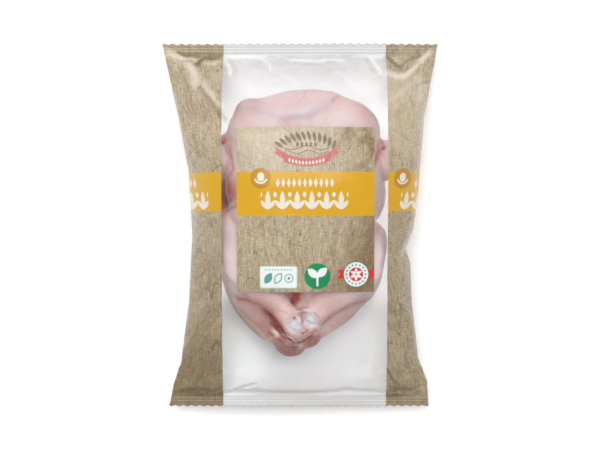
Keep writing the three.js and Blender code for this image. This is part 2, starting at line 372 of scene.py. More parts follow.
# Painted streaks on the film: highlights where the folded film catches the light, and shade where it loses
# it, when the strength is negative: path, reach and strength.
STREAKS = (
    (((-120, 158), (-111, 153), (-103, 149), (-97, 140), (-94, 128)), 4.2, 0.85),
    (((-101, 152), (-96, 150), (-90, 149)), 2.4, 0.5),
    (((-112, 157.5), (-104, 154.5), (-97, 154.5), (-91, 152)), 1.8, -0.7),
    (((-95, 146), (-91, 149), (-87, 152.5), (-80, 152), (-73, 153)), 1.9, -1.0),
    (((-88, 148), (-78, 147), (-73, 148)), 2.0, 0.45),
    (((80, 137), (87, 134.5), (95, 135.5), (104, 143), (112, 152), (119, 158)), 2.8, 0.95),
    (((79, 153.5), (85, 148), (91, 143)), 2.0, -1.0),
    (((91, 143), (95, 148), (101, 152), (110, 154)), 1.6, -0.6),
    (((84, 152), (90, 147)), 1.6, 0.5),
    (((106, 139), (109, 126), (107, 112)), 3.5, 0.35),
    (((-92, 126), (-84, 116), (-75, 104), (-66, 94)), 2.0, -0.55),
    (((-89, 129), (-80, 117), (-71, 107)), 2.4, 0.45),
    (((100, 128), (90, 118), (80, 110)), 2.2, 0.3),
    (((105, 30), (105.5, 6), (99, -12), (91, -28)), 1.8, 0.5),
    (((-69, 151), (-64, 143), (-63, 136)), 1.4, 0.32),
    (((-65, 151), (-59, 144), (-58, 138)), 1.3, -0.25),
    (((-8, 149.5), (14, 148.5), (40, 149.8)), 1.3, 0.34),
    (((-6, 147), (10, 146), (30, 147.5)), 1.2, -0.22),
    (((64, 152), (70, 144), (74, 136)), 1.5, 0.34),
    (((60, 151), (65, 143), (67, 137)), 1.3, -0.25),
    (((-36, 151), (-28, 146), (-26, 139)), 1.3, 0.22),
    (((-71, -152), (-58, -150.5), (-42, -150), (-22, -151.5), (8, -151.5), (34, -150), (42, -148),
      (50, -149.5), (80, -151.5)), 1.6, -0.45),
    (((-62, -150.5), (-52, -146.5), (-40, -143.5)), 1.3, -0.5),
    (((-56, -150.5), (-47, -147.5), (-40, -146)), 1.2, 0.2),
    (((-50, -151), (-42, -148), (-37, -147)), 1.2, -0.32),
    (((-112, -152), (-96, -149), (-84, -151), (-72, -150)), 2.0, -0.8),
    (((82, -150), (94, -149), (108, -151)), 2.0, -0.8),
    (((-104, -152), (-90, -155)), 2.0, -0.5),
)

# The tuck in the right side: its edge on the upper layer, as (x, y).
TUCK = ((106, 2), (101.5, -3), (94.7, -18), (88.5, -31))


class BagSizes(PropertyGroup):
    """Sizes of the bag."""

    flat_width: FloatProperty(
        name="Flat width", description="Width of the bag when it is empty", default=0.250, unit="LENGTH")
    flat_length: FloatProperty(
        name="Flat length", description="Length of the bag when it is empty", default=0.345, unit="LENGTH")
    length: FloatProperty(
        name="Length", description="Length of the filled bag over its cut edges",
        default=CAD_BOX[1][1] - CAD_BOX[0][1], unit="LENGTH")
    seal_depth: FloatProperty(
        name="Seal depth", description="Depth of the crimped band at each end", default=0.011,
        unit="LENGTH")
    seal_height: FloatProperty(
        name="Seal height", description="Height of the seals above the floor", default=0.020, unit="LENGTH")
    tooth_depth: FloatProperty(
        name="Tooth depth", description="Depth of the zigzag of the cut edges", default=0.0014,
        unit="LENGTH")
    film: FloatProperty(
        name="Film", description="Thickness of the film", default=0.00015, unit="LENGTH")
    pressure: FloatProperty(
        name="Pressure", description="How firmly the air in the bag presses on the film", default=50.0)
    columns: IntProperty(
        name="Columns", description="Film cells across the flat bag, two to a tooth", default=66)
    steps: IntProperty(
        name="Steps", description="Steps of the cloth simulation", default=18)


class PrintLayout(PropertyGroup):
    """Places and colours of the print, seen from above."""

    window_left: FloatProperty(
        name="Window left", description="Left edge of the clear window", default=-0.0701, unit="LENGTH")
    window_right: FloatProperty(
        name="Window right", description="Right edge of the clear window", default=0.0786, unit="LENGTH")
    label_left: FloatProperty(
        name="Label left", description="Left edge of the label panel", default=-0.0563, unit="LENGTH")
    label_right: FloatProperty(
        name="Label right", description="Right edge of the label panel", default=0.0663, unit="LENGTH")
    label_bottom: FloatProperty(
        name="Label bottom", description="Lower edge of the label panel", default=-0.0598, unit="LENGTH")
    label_top: FloatProperty(
        name="Label top", description="Upper edge of the label panel", default=0.0870, unit="LENGTH")
    jute: FloatVectorProperty(
        name="Jute", description="Middle colour of the printed jute", subtype="COLOR",
        default=(0.385, 0.31, 0.205), min=0, max=1)
    jute_dark: FloatVectorProperty(
        name="Jute shade", description="Colour between the jute threads", subtype="COLOR",
        default=(0.17, 0.12, 0.065), min=0, max=1)
    jute_light: FloatVectorProperty(
        name="Jute light", description="Colour of the pale jute fibres", subtype="COLOR",
        default=(0.56, 0.48, 0.35), min=0, max=1)
    gold: FloatVectorProperty(
        name="Gold", description="Colour of the band around the bag", subtype="COLOR",
        default=(0.665, 0.365, 0.002), min=0, max=1)
    cream: FloatVectorProperty(
        name="Cream", description="Colour of the ornaments on the band", subtype="COLOR",
        default=(0.74, 0.69, 0.60), min=0, max=1)


class BirdLook(PropertyGroup):
    """Colours of the bird."""

    skin: FloatVectorProperty(
        name="Skin", description="Palest colour of the skin", subtype="COLOR",
        default=(0.615, 0.505, 0.505), min=0, max=1)
    flush: FloatVectorProperty(
        name="Flush", description="Pink of the skin", subtype="COLOR",
        default=(0.62, 0.382, 0.36), min=0, max=1)
    # Also painted shade: the same red darkens the creases and the gap beside the left wing.
    blood_and_shade: FloatVectorProperty(
        name="Blood", description="Red in creases and cuts", subtype="COLOR",
        default=(0.34, 0.045, 0.03), min=0, max=1)
    # Also painted light: the same colour lightens the left shoulder, the edge of the right wing and the rim
    # of the left flank.
    fat_and_light: FloatVectorProperty(
        name="Fat", description="Yellow white of fat under the skin", subtype="COLOR",
        default=(0.80, 0.66, 0.56), min=0, max=1)
    # Painted shade: brownish darkening of the flanks, the tail and the gaps, which lie low and in shade.
    brown_shade: FloatVectorProperty(
        name="Dusk", description="Brownish cast of the flanks and the tail", subtype="COLOR",
        default=(0.33, 0.165, 0.135), min=0, max=1)
    # Also painted shade along the neck fold and on the bird's sides.
    lilac_and_shade: FloatVectorProperty(
        name="Lilac", description="Bluish cast of the thin skin", subtype="COLOR",
        default=(0.50, 0.415, 0.44), min=0, max=1)
    # Painted haze: a greyish cast for the film over the thighs and beside the wings.
    painted_haze: FloatVectorProperty(
        name="Veil", description="Greyish cast where the film lies on the thighs", subtype="COLOR",
        default=(0.40, 0.435, 0.43), min=0, max=1)
    cartilage: FloatVectorProperty(
        name="Cartilage", description="Colour of the joint ends", subtype="COLOR",
        default=(0.55, 0.56, 0.60), min=0, max=1)


class StageLook(PropertyGroup):
    """Floor, lights and camera."""

    floor: FloatVectorProperty(
        name="Floor", description="Colour of the floor", subtype="COLOR",
        default=(0.9, 0.9, 0.9), min=0, max=1)
    key_power: FloatProperty(
        name="Key light", description="Power of the main light", default=17.0)
    sky_power: FloatProperty(
        name="Sky light", description="Strength of the light from all around", default=0.86)
    camera_height: FloatProperty(
        name="Camera height", description="Height of the camera above the floor", default=2.5,
        unit="LENGTH")
    view_width: FloatProperty(
        name="View width", description="Width that the camera sees at the bag's edges", default=0.546,
        unit="LENGTH")


# ------------------------------------------------------------ meshes

def add_piece(name, mesh):
    piece = bpy.data.objects.new(name, mesh)
    bpy.context.scene.collection.objects.link(piece)
    return piece


def evaluated(piece):
    """The mesh of a piece with its modifiers applied."""
    graph = bpy.context.evaluated_depsgraph_get()
    return bpy.data.meshes.new_from_object(piece.evaluated_get(graph))


def points_of(mesh, what="co"):
    values = np.zeros(len(mesh.vertices) * 3)
    mesh.vertices.foreach_get(what, values)
    return values.reshape(-1, 3)


def edge_ends(mesh):
    ends = np.zeros(len(mesh.edges) * 2, int)
    mesh.edges.foreach_get("vertices", ends)
    return ends.reshape(-1, 2).T


def move_points(mesh, points):
    mesh.vertices.foreach_set("co", points.ravel())
    mesh.update()


def put_layer(mesh, name, values):
    layer = mesh.attributes.new(name, "FLOAT", "POINT")
    layer.data.foreach_set("value", values.astype(np.float32))


def smoothed(amount):
    amount = np.clip(amount, 0, 1)
    return amount * amount * (3 - 2 * amount)


def dress(piece, material):
    """Gives a finished piece its body, its material and smooth faces."""
    piece.data.materials.clear()
    piece.data.materials.append(material)
    piece.data.polygons.foreach_set("material_index", [0] * len(piece.data.polygons))
    piece.data.polygons.foreach_set("use_smooth", [True] * len(piece.data.polygons))
    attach(piece, "root")
    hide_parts(NODE)
    return piece


def add_ball(bm, place, size, turn=0, rings=16):
    matrix = (Matrix.Translation(Vector(place) * MM) @ Matrix.Rotation(math.radians(turn), 4, "Z")
              @ Matrix.Diagonal((size[0] * MM, size[1] * MM, size[2] * MM, 1)))
    bmesh.ops.create_uvsphere(bm, u_segments=2 * rings, v_segments=rings, radius=1, matrix=matrix)


def add_square(name, half, cells):
    """A flat square at the height of the floor."""
    bm = bmesh.new()
    bmesh.ops.create_grid(bm, x_segments=cells, y_segments=cells, size=half)
    mesh = bpy.data.meshes.new(name)
    bm.to_mesh(mesh)
    bm.free()
    return add_piece(name, mesh)


def smooth_stations(stations, per=5):
    """More stations on a smooth curve through the given ones."""
    table = np.array(stations, float)
    count = len(table)
    out = []
    for i in range(count - 1):
        before, a, b, after = (table[min(max(k, 0), count - 1)] for k in (i - 1, i, i + 1, i + 2))
        for k in range(per):
            t = k / per
            out.append(0.5 * (2 * a + (b - before) * t + (2 * before - 5 * a + 4 * b - after) * t ** 2
                              + (3 * a - before - 3 * b + after) * t ** 3))
    out.append(table[-1])
    return out


def rounded_end(stations):
    """The stations with a half round cap before the first."""
    first, second = stations[0], stations[1]
    away = (first[:3] - second[:3]) / np.linalg.norm(first[:3] - second[:3])
    cap = []
    for degrees in (80, 60, 40, 20):
        out, size = math.sin(math.radians(degrees)), math.cos(math.radians(degrees))
        place = first[:3] + away * out * min(first[3], first[4])
        cap.append(np.concatenate((place, first[3:] * size)))
    return cap + list(stations)


def station_matrix(stations, index):
    ahead = stations[min(index + 1, len(stations) - 1)][:3]
    behind = stations[max(index - 1, 0)][:3]
    along = Vector(ahead - behind).normalized()
    across = along.cross(Vector((0, 0, 1))).normalized()
    up = across.cross(along)
    x, y, z, wide, high = stations[index]
    columns = (across * wide * MM, up * high * MM, along * MM, Vector((x, y, z)) * MM)
    return Matrix([[column[row] for column in columns] for row in range(3)] + [[0, 0, 0, 1]])


def add_limb(bm, stations, sides=18):
    """A rounded form drawn along stations: a circle, extruded from each station to the next."""
    path = rounded_end(rounded_end(smooth_stations(stations))[::-1])[::-1]
    matrix = station_matrix(path, 0)
    ring = bmesh.ops.create_circle(bm, cap_ends=True, segments=sides, radius=1, matrix=matrix)
    face = next(iter(set.intersection(*(set(vert.link_faces) for vert in ring["verts"]))))
    for index in range(1, len(path)):
        ahead = station_matrix(path, index)
        made = bmesh.ops.extrude_face_region(bm, geom=[face])["geom"]
        if index > 1:
            bmesh.ops.delete(bm, geom=[face], context="FACES_ONLY")
        verts = [part for part in made if isinstance(part, bmesh.types.BMVert)]
        face = next(part for part in made if isinstance(part, bmesh.types.BMFace))
        bmesh.ops.transform(bm, verts=verts, matrix=ahead @ matrix.inverted())
        matrix = ahead


def fused(masses, limbs, cell, rounds, meshes=()):
    """One closed skin around masses, limbs and meshes, with the given cell size and rounds of smoothing."""
    bm = bmesh.new()
    for place, size, turn in masses:
        add_ball(bm, place, size, turn)
    for stations in limbs:
        add_limb(bm, stations)
    bmesh.ops.recalc_face_normals(bm, faces=bm.faces)
    for mesh in meshes:
        bm.from_mesh(mesh)
    mesh = bpy.data.meshes.new("forms")
    bm.to_mesh(mesh)
    bm.free()
    piece = add_piece("forms", mesh)
    remesh = piece.modifiers.new("fuse", "REMESH")
    remesh.mode = "VOXEL"
    remesh.voxel_size = cell * MM
    soften = piece.modifiers.new("soften", "SMOOTH")
    soften.factor = 0.5
    soften.iterations = rounds
    skin = evaluated(piece)
    bpy.data.objects.remove(piece)
    return skin


# ------------------------------------------------------------ the bird

def path_distance(points, path):
    """Distance seen from above to a path, its sign positive on the left of the path."""
    best = np.full(len(points), 1e9)
    signed = np.zeros(len(points))
    flat = points[:, :2] / MM
    for a, b in zip(path, path[1:]):
        a, b = np.array(a, float), np.array(b, float)
        along = b - a
        share = np.clip((flat - a) @ along / (along @ along), 0, 1)
        away = flat - a - share[:, None] * along
        distance = np.hypot(away[:, 0], away[:, 1])
        side = np.sign(along[0] * away[:, 1] - along[1] * away[:, 0])
        nearer = distance < best
        best[nearer] = distance[nearer]
        signed[nearer] = (distance * side)[nearer]
    return signed


def bell(distance, reach):
    """1 at no distance, and near 0 at twice the reach."""
    return np.exp(-(distance / reach) ** 2)


def fold_push(signed, rise, sink, left_reach, right_reach):
    """Height of a fold at a distance from its path: a rise on the left, and a sink on the right."""
    soft = smoothed(signed / max(1.6, 0.3 * (left_reach + right_reach)) + 0.5)
    return soft * rise * bell(signed, left_reach) - (1 - soft) * sink * bell(signed, right_reach)


def hollowness(mesh):
    """How hollow the skin is at each point: 0 where it is flat or bulges, towards 1 in a crease."""
    points, normals = points_of(mesh), points_of(mesh, "normal")
    a, b = edge_ends(mesh)
    count = np.bincount(np.concatenate((a, b)), minlength=len(points))[:, None]

    def around(values):
        total = np.zeros_like(values)
        np.add.at(total, a, values[b])
        np.add.at(total, b, values[a])
        return total / count

    lean = ((around(points) - points) * normals).sum(1)[:, None] / (1.8 * MM)
    for _ in range(3):
        lean = 0.5 * lean + 0.5 * around(lean)
    return np.clip(lean[:, 0] * 9, 0, 1)


def cup_push(flat, x, y, long, wide, turn, rise, depth):
    """Height of a cup: a raised rim around a hollow, both oval."""
    cos, sin = math.cos(math.radians(turn)), math.sin(math.radians(turn))
    away_x, away_y = flat[:, 0] - x, flat[:, 1] - y
    away = np.hypot((away_x * cos + away_y * sin) / long, (away_y * cos - away_x * sin) / wide)
    return rise * bell(away - 1.12, 0.16) - depth * bell(away, 0.7)


def lumps(points, flat):
    """Height of the broad, fine and crumpled lumps that the skin has everywhere."""
    broad = np.array([noise.noise(Vector(point) * 38) for point in points])
    fine = np.array([noise.noise(Vector(point) * 120 + Vector((9, 4, 2))) for point in points])
    crumpled = np.array([noise.noise(Vector(point) * 260 + Vector((3, 8, 5))) for point in points])
    hocks = bell(np.hypot(flat[:, 0] - HOCKS[0], flat[:, 1] - HOCKS[1]), HOCKS_REACH)
    return BROAD_LUMPS * broad + FINE_LUMPS * fine + CRUMPLED_LUMPS * hocks * crumpled


def sculpt(mesh):
    """Folds, dents, cups, lumps and tints of the skin."""
    points, normals = points_of(mesh), points_of(mesh, "normal")
    flat = points[:, :2] / MM
    tints = {name: np.zeros(len(points)) for name in TINTS}
    facing_up = smoothed(normals[:, 2] * 2 + 0.3)
    seen = smoothed(normals[:, 2] * 3 + 1)
    push = np.zeros(len(points))
    for path, rise, sink, left_reach, right_reach, low, tint, strength, tint_reach in FOLDS:
        signed = path_distance(points, path)
        shown = facing_up * (points[:, 2] > low * MM)
        push += shown * fold_push(signed, rise, sink, left_reach, right_reach)
        tints[tint] = np.maximum(tints[tint], shown * strength * bell(signed, tint_reach))
    for x, y, radius, depth, red_and_shade in DENTS:
        near = facing_up * bell(np.hypot(flat[:, 0] - x, flat[:, 1] - y), radius)
        push -= depth * near
        tints["blood_and_shade"] = np.maximum(tints["blood_and_shade"], red_and_shade * near)
    high = facing_up * (points[:, 2] > CUP_LOW)
    for cup in CUPS:
        push += high * cup_push(flat, *cup)
    for layer, x, y, radius, strength in PATCHES:
        away = np.hypot(flat[:, 0] - x, flat[:, 1] - y)
        tints[layer] = np.maximum(tints[layer], seen * strength * bell(away, radius))
    push += lumps(points, flat)
    move_points(mesh, points + normals * push[:, None] * MM)
    for name, values in tints.items():
        put_layer(mesh, name, values)
    put_layer(mesh, "crease", hollowness(mesh))


def refine(mesh, low, high):
    """Halves the cells of the mesh inside a box."""
    bm = bmesh.new()
    bm.from_mesh(mesh)
    low, high = Vector(low) * MM, Vector(high) * MM
    inside = {vert for vert in bm.verts if all(low[i] < vert.co[i] < high[i] for i in range(3))}
    edges = [edge for edge in bm.edges if inside.issuperset(edge.verts)]
    made = bmesh.ops.subdivide_edges(bm, edges=edges, cuts=1, use_grid_fill=True)
    fresh = [part for part in made["geom_inner"] if isinstance(part, bmesh.types.BMVert)]
    for _ in range(2):
        bmesh.ops.smooth_vert(
            bm, verts=fresh, factor=0.5, use_axis_x=True, use_axis_y=True, use_axis_z=True)
    bm.to_mesh(mesh)
    bm.free()


def rest_on_floor(mesh, height):
    """Flattens the underside where the bird lies on its back."""
    points = points_of(mesh)
    low = points[:, 2] < height + BACK_SOFTNESS
    depth = (height + BACK_SOFTNESS - points[low, 2]) / BACK_SOFTNESS
    points[low, 2] = height + BACK_SOFTNESS * np.exp(-depth)
    move_points(mesh, points)


def bird_mesh():
    trunk = fused(TRUNK, (), cell=2.5, rounds=12)
    haunches = fused(HAUNCHES, FLANKS, cell=2.5, rounds=9)
    tail = fused(TAIL, (), cell=2.2, rounds=4)
    legs = [fused((), leg, cell=2.0, rounds=5) for leg in (LEFT_LEG, RIGHT_LEG)]
    wings = fused((), WINGS, cell=2.2, rounds=5)
    skin = fused((), LIPS, cell=1.7, rounds=3, meshes=[trunk, haunches, tail, *legs, wings])
    refine(skin, FINE_LOW, FINE_HIGH)
    sculpt(skin)
    rest_on_floor(skin, BACK_HEIGHT)
    return skin


# ------------------------------------------------------------ the film

def curve_at(table, y):
    ys, values = zip(*table)
    return np.interp(y, ys, values)


def seal_wave(x, y):
    return SEAL_WAVE * math.sin(x / SEAL_WAVE_LENGTH + (NECK_PHASE if y > 0 else FOOT_PHASE))


class FilmGrid:
    """Where each corner of the film lies, flat and at the start of the simulation, in millimetres."""

    def __init__(self, sizes):
        self.width = sizes.flat_width / MM
        self.flat_length = sizes.flat_length / MM
        self.end = sizes.length / MM / 2
        self.depth = sizes.seal_depth / MM
        self.seal_line = self.end - self.depth
        self.seal_height = sizes.seal_height / MM
        self.columns = sizes.columns
        self.seal_rows = SEAL_ROWS
        cell = self.width / self.columns
        self.body_rows = round((self.flat_length - 2 * self.depth) / cell)
        self.rows = self.body_rows + 2 * self.seal_rows

    def along(self, row, seal_line, end):
        """y of a row: short rows in the seals, even ones between them."""
        if row <= self.seal_rows:
            return -end + row / self.seal_rows * self.depth
        if row >= self.rows - self.seal_rows:
            return end - (self.rows - row) / self.seal_rows * self.depth
        return -seal_line + (row - self.seal_rows) / self.body_rows * 2 * seal_line

    def flat(self, column, row):
        half = self.flat_length / 2
        return Vector((column * self.width - self.width / 2, self.along(row, half - self.depth, half), 0))

    def start(self, column, row, side):
        y = self.along(row, self.seal_line, self.end)
        across = 2 * column - 1
        left, right = curve_at(LEFT_EDGE, y), curve_at(RIGHT_EDGE, y)
        x = (left + right) / 2 + (right - left) / 2 * across
        seal = self.seal_height + seal_wave(x, y)
        inside = self.seal_line - abs(y)
        if inside < 0.01:
            gap = 0 if row in (0, self.rows) or abs(across) > 0.999 else SEAL_GAP
            return Vector((x, y, seal + gap * side))
        fill = smoothed(inside / FILL_REACH)
        fold = seal + (curve_at(SIDE_FOLD, y) - seal) * fill
        if abs(across) > 0.999:
            return Vector((x, y, fold))
        if side > 0:
            round_off = (1 - abs(across) ** (2 + 0.9 * fill)) ** (1 - 0.45 * fill)
            return Vector((x, y, fold + max(0, curve_at(CROWN, y) - fold) * round_off))
        lift = smoothed((abs(y) - self.seal_line + LIFT_REACH) / LIFT_REACH)
        under = fold * max(0, (abs(across) - FLAT_SHARE) / TURN_SHARE) ** 1.8
        return Vector((x, y, min(fold, max(1.0, under + (seal - under) * lift))))


def film_cells(grid):
    """A closed pillow of two grids, its flat layout kept as a map, and the cell place of every point."""
    bm = bmesh.new()
    place = bm.verts.layers.float_vector.new("cell")
    for side in (1, -1):
        made = bmesh.ops.create_grid(bm, x_segments=grid.columns, y_segments=grid.rows, size=0.5)
        for vert in made["verts"]:
            column, row = vert.co.x + 0.5, round((vert.co.y + 0.5) * grid.rows)
            vert[place] = Vector((column, row, side))
            rim = min(column, 1 - column) < 1e-5 or row in (0, grid.rows)
            vert.co.z = 0 if rim else 0.01 * side
        if side < 0:
            faces = {face for vert in made["verts"] for face in vert.link_faces}
            bmesh.ops.reverse_faces(bm, faces=list(faces))
            for face in faces:
                face.material_index = 1
    bmesh.ops.remove_doubles(bm, verts=bm.verts, dist=1e-5)
    print_map = bm.loops.layers.uv.new("print")
    for face in bm.faces:
        for loop in face.loops:
            column, row, _ = loop.vert[place]
            loop[print_map].uv = grid.flat(column, row).xy * MM
    cells = [tuple(vert[place]) for vert in bm.verts]
    for vert, (column, row, side) in zip(bm.verts, cells):
        vert.co = grid.start(column, row, side) * MM
    mesh = bpy.data.meshes.new("film")
    bm.to_mesh(mesh)
    bm.free()
    return mesh, np.array(cells)


def add_collision(piece, gap):
    piece.modifiers.new("collide", "COLLISION")
    piece.collision.thickness_outer = gap
    piece.collision.thickness_inner = COLLISION_DEPTH
    piece.collision.cloth_friction = COLLISION_FRICTION


def keep_flat_shape(film, cells, grid):
    """Keeps the flat layout as a shape key, which gives the cloth its size."""
    film.shape_key_add(name="Basis")
    flat = film.shape_key_add(name="flat")
    for key_point, (column, row, _) in zip(flat.data, cells):
        key_point.co = grid.flat(column, row) * MM
    flat.value = 0


def hold_seals(film, cells, grid):
    held = film.vertex_groups.new(name="held")
    in_seal = (cells[:, 1] <= grid.seal_rows) | (cells[:, 1] >= grid.rows - grid.seal_rows)
    held.add([int(index) for index in np.flatnonzero(in_seal)], 1.0, "REPLACE")


def add_cloth(film, sizes):
    modifier = film.modifiers.new("cloth", "CLOTH")
    for name, value in CLOTH.items():
        setattr(modifier.settings, name, value)
    for name, value in CONTACT.items():
        setattr(modifier.collision_settings, name, value)
    modifier.settings.vertex_group_mass = "held"
    modifier.settings.rest_shape_key = film.data.shape_keys.key_blocks["flat"]
    modifier.settings.use_pressure = True
    modifier.settings.uniform_pressure_force = sizes.pressure
    modifier.point_cache.frame_end = sizes.steps + 2


def drape(film, cells, grid, sizes, bird):
    """Lets the sealed film settle around the bird, with its seals held and air inside."""
    keep_flat_shape(film, cells, grid)
    hold_seals(film, cells, grid)
    table = add_square("table", TABLE_HALF, cells=4)
    add_collision(table, FLOOR_GAP)
    add_collision(bird, SKIN_GAP)
    add_cloth(film, sizes)
    scene = bpy.context.scene
    for step in range(1, sizes.steps + 1):
        scene.frame_set(step)
    settled = evaluated(film)
    scene.frame_set(1)
    bpy.data.objects.remove(table)
    bird.modifiers.clear()
    return settled


def flat_places(mesh):
    """Where each point of the film lies on the flat bag, in metres."""
    ends = np.zeros(len(mesh.loops), int)
    mesh.loops.foreach_get("vertex_index", ends)
    values = np.zeros(len(mesh.loops) * 2)
    mesh.uv_layers["print"].data.foreach_get("uv", values)
    flat = np.zeros((len(mesh.vertices), 2))
    flat[ends] = values.reshape(-1, 2)
    return flat


def fit_outline(points, flat):
    """Draws the loose sides of the film in to the outline of the bag, row by row."""
    rows = np.round(flat[:, 1] / ROW_DEPTH).astype(int)
    rows -= rows.min()
    for sign, edge in ((-1, LEFT_EDGE), (1, RIGHT_EDGE)):
        reach = np.full(rows.max() + 1, LOOSE_FROM)
        np.maximum.at(reach, rows, sign * points[:, 0])
        padded = np.pad(reach, 2, mode="edge")
        reach = np.convolve(padded, np.ones(5) / 5, mode="valid")[rows]
        wanted = sign * curve_at(edge, points[:, 1] / MM) * MM
        outside = np.maximum(sign * points[:, 0] - LOOSE_FROM, 0)
        points[:, 0] += sign * outside * ((wanted - LOOSE_FROM) / (reach - LOOSE_FROM) - 1)


def clear_of_bird(points, bird, gap):
    """Lifts each point of the film that touches the bird to a gap above its skin."""
    skin = bird.data
    corners = [vert.co for vert in skin.vertices]
    tree = BVHTree.FromPolygons(corners, [face.vertices for face in skin.polygons])
    for index, point in enumerate(points):
        near, normal, _, distance = tree.find_nearest(Vector(point), SEARCH_REACH)
        if near is None:
            continue
        inside = (Vector(point) - near).dot(normal) < 0
        if inside or distance < gap:
            points[index] = near + normal * gap


def relax(points, neighbours, share):
    """Each point moved towards the middle of its neighbours, as far as its share of 0 to 1."""
    a, b = neighbours
    total = np.zeros_like(points)
    np.add.at(total, a, points[b])
    np.add.at(total, b, points[a])
    count = np.bincount(np.concatenate((a, b)), minlength=len(points))[:, None]
    points += share[:, None] * (total / count - points)


def add_tuck(points):
    """The side fold laps over itself at the waist on the right."""
    signed = path_distance(points, TUCK)
    up = points[:, 2] > 0.012
    fade = smoothed((points[:, 0] / MM - 84) / 10)
    above = 2.2 * bell(signed, 9) * (signed <= 0)
    below = -2.6 * bell(signed, 6) * (signed > 0)
    points[:, 2] += up * fade * (above + below) * MM


def fold_film(points, normals, inside):
    """The larger folds of the upper film, which fade out where it meets the lower film."""
    upper = smoothed(normals[:, 2] * 4) * smoothed(inside / 5)
    side = np.minimum(points[:, 0] - curve_at(LEFT_EDGE, points[:, 1] / MM) * MM,
                      curve_at(RIGHT_EDGE, points[:, 1] / MM) * MM - points[:, 0])
    upper *= smoothed((side / MM - 1) / 8)
    for path, rise, sink, left_reach, right_reach in FILM_FOLDS:
        signed = path_distance(points, path)
        points[:, 2] += upper * fold_push(signed, rise, sink, left_reach, right_reach) * MM


def streaks(points, normals):
    """Painted highlights and painted shade: streaks on the upper film where its folds catch or lose the
    light.
    """
    upper = smoothed(normals[:, 2] * 4)
    amount = np.zeros(len(points))
    flat = points[:, :2] / MM
    for path, reach, strength in STREAKS:
        ends = np.array((path[0], path[-1]), float)
        middle, length = ends.mean(0), np.hypot(*(ends[1] - ends[0]))
        taper = smoothed(1.6 - 2 * np.hypot(*(flat - middle).T) / length + reach / length)
        near = upper * strength * taper * bell(path_distance(points, path), reach)
        amount = np.where(np.abs(near) > np.abs(amount), near, amount)
    return amount


def crumple(points, flat, grid):
    """Small sharp folds in the film beside the seals, where it is gathered."""
    inset = grid.flat_length / 2 - np.abs(flat[:, 1]) / MM - grid.depth
    near = smoothed(inset / 2.5) * smoothed((34 - inset) / 28)
    for index in np.flatnonzero(near > 0):
        x, y = flat[index] / MM
        lean = 0.35 * x * (1 if y > 0 else -1)
        fold = noise.noise(Vector((x / 17, (y + lean * 0.5) / 5.5, 2.0)))
        crinkle = noise.noise(Vector((x / 7, (y - lean) / 4.5, 7.0)))
        ridge = 2.6 * (0.35 - abs(fold)) + 1.3 * (0.3 - abs(crinkle))
        points[index, 2] += near[index] * ridge * MM


def finish_seals(points, flat, grid, sizes):
    """Presses the crimps into the seals and cuts their edges to teeth."""
    inset = grid.flat_length / 2 * MM - np.abs(flat[:, 1])
    depth = grid.depth * MM
    seal = smoothed((depth * 1.05 - inset) / (depth * 0.1))
    ridge = np.cos(inset / depth * 2 * math.pi * CRIMPS)
    points[:, 2] += seal * CRIMP_HEIGHT * MM * ridge
    pitch = 2 * grid.width / grid.columns * MM
    tooth = np.cos(flat[:, 0] / pitch * 2 * math.pi)
    edge = smoothed(1 - inset / (TOOTHED_SHARE * depth))
    points[:, 1] += np.sign(flat[:, 1]) * edge * (tooth - 1) * 0.5 * sizes.tooth_depth


def shape_film(mesh, grid, sizes, bird):
    """Fits the settled film to its outline and to the bird, and finishes its seals."""
    points, flat = points_of(mesh), flat_places(mesh)
    neighbours = edge_ends(mesh)
    inside = grid.seal_line - np.abs(points[:, 1] / MM)
    side = smoothed((100 - np.abs(points[:, 0] / MM)) / 25)
    for _ in range(RELAX_ROUNDS):
        relax(points, neighbours, 0.6 * smoothed((inside - 14) / 30) * side)
        clear_of_bird(points, bird, SKIN_GAP)
    fit_outline(points, flat)
    add_tuck(points)
    relax(points, neighbours, 0.4 * smoothed((inside - 2) / 4))
    move_points(mesh, points)
    fold_film(points, points_of(mesh, "normal"), inside)
    crumple(points, flat, grid)
    clear_of_bird(points, bird, LEAST_GAP)
    put_layer(mesh, "streak", streaks(points, points_of(mesh, "normal")))
    finish_seals(points, flat, grid, sizes)
    move_points(mesh, points)


def subdivided(mesh):
    piece = add_piece("film_cells", mesh)
    modifier = piece.modifiers.new("smooth", "SUBSURF")
    modifier.levels = 1
    modifier.render_levels = 1
    fine = evaluated(piece)
    bpy.data.objects.remove(piece)
    return fine


def cut_lines(mesh, layout):
    """Cuts the upper film along the edges of the window and of the label panel."""
    bm = bmesh.new()
    bm.from_mesh(mesh)
    cuts = (
        (layout.window_left, 0), (layout.window_right, 0), (layout.label_left, 0), (layout.label_right, 0),
        (layout.label_bottom, 1), (layout.label_top, 1),
    )
    for place, axis in cuts:
        upper = [face for face in bm.faces if face.material_index == 0]
        edges = list({edge for face in upper for edge in face.edges})
        normal = Vector((1, 0, 0)) if axis == 0 else Vector((0, 1, 0))
        bmesh.ops.bisect_plane(bm, geom=upper + edges, dist=1e-6, plane_co=normal * place, plane_no=normal)
    bm.to_mesh(mesh)
    bm.free()


def film_part(mesh, name, keep):
    """A piece made of the film faces that keep(face, centre) picks."""
    bm = bmesh.new()
    bm.from_mesh(mesh)
    spare = [face for face in bm.faces if not keep(face, face.calc_center_median())]
    bmesh.ops.delete(bm, geom=spare, context="FACES")
    part = bpy.data.meshes.new(name)
    bm.to_mesh(part)
    bm.free()
    return add_piece(name, part)


def whole_film(sizes, bird):
    """The film around the bird, finished but not yet cut into pieces."""
    grid = FilmGrid(sizes)
    mesh, cells = film_cells(grid)
    film = add_piece("film", mesh)
    settled = drape(film, cells, grid, sizes, bird)
    bpy.data.objects.remove(film)
    fine = subdivided(settled)
    shape_film(fine, grid, sizes, bird)
    return fine


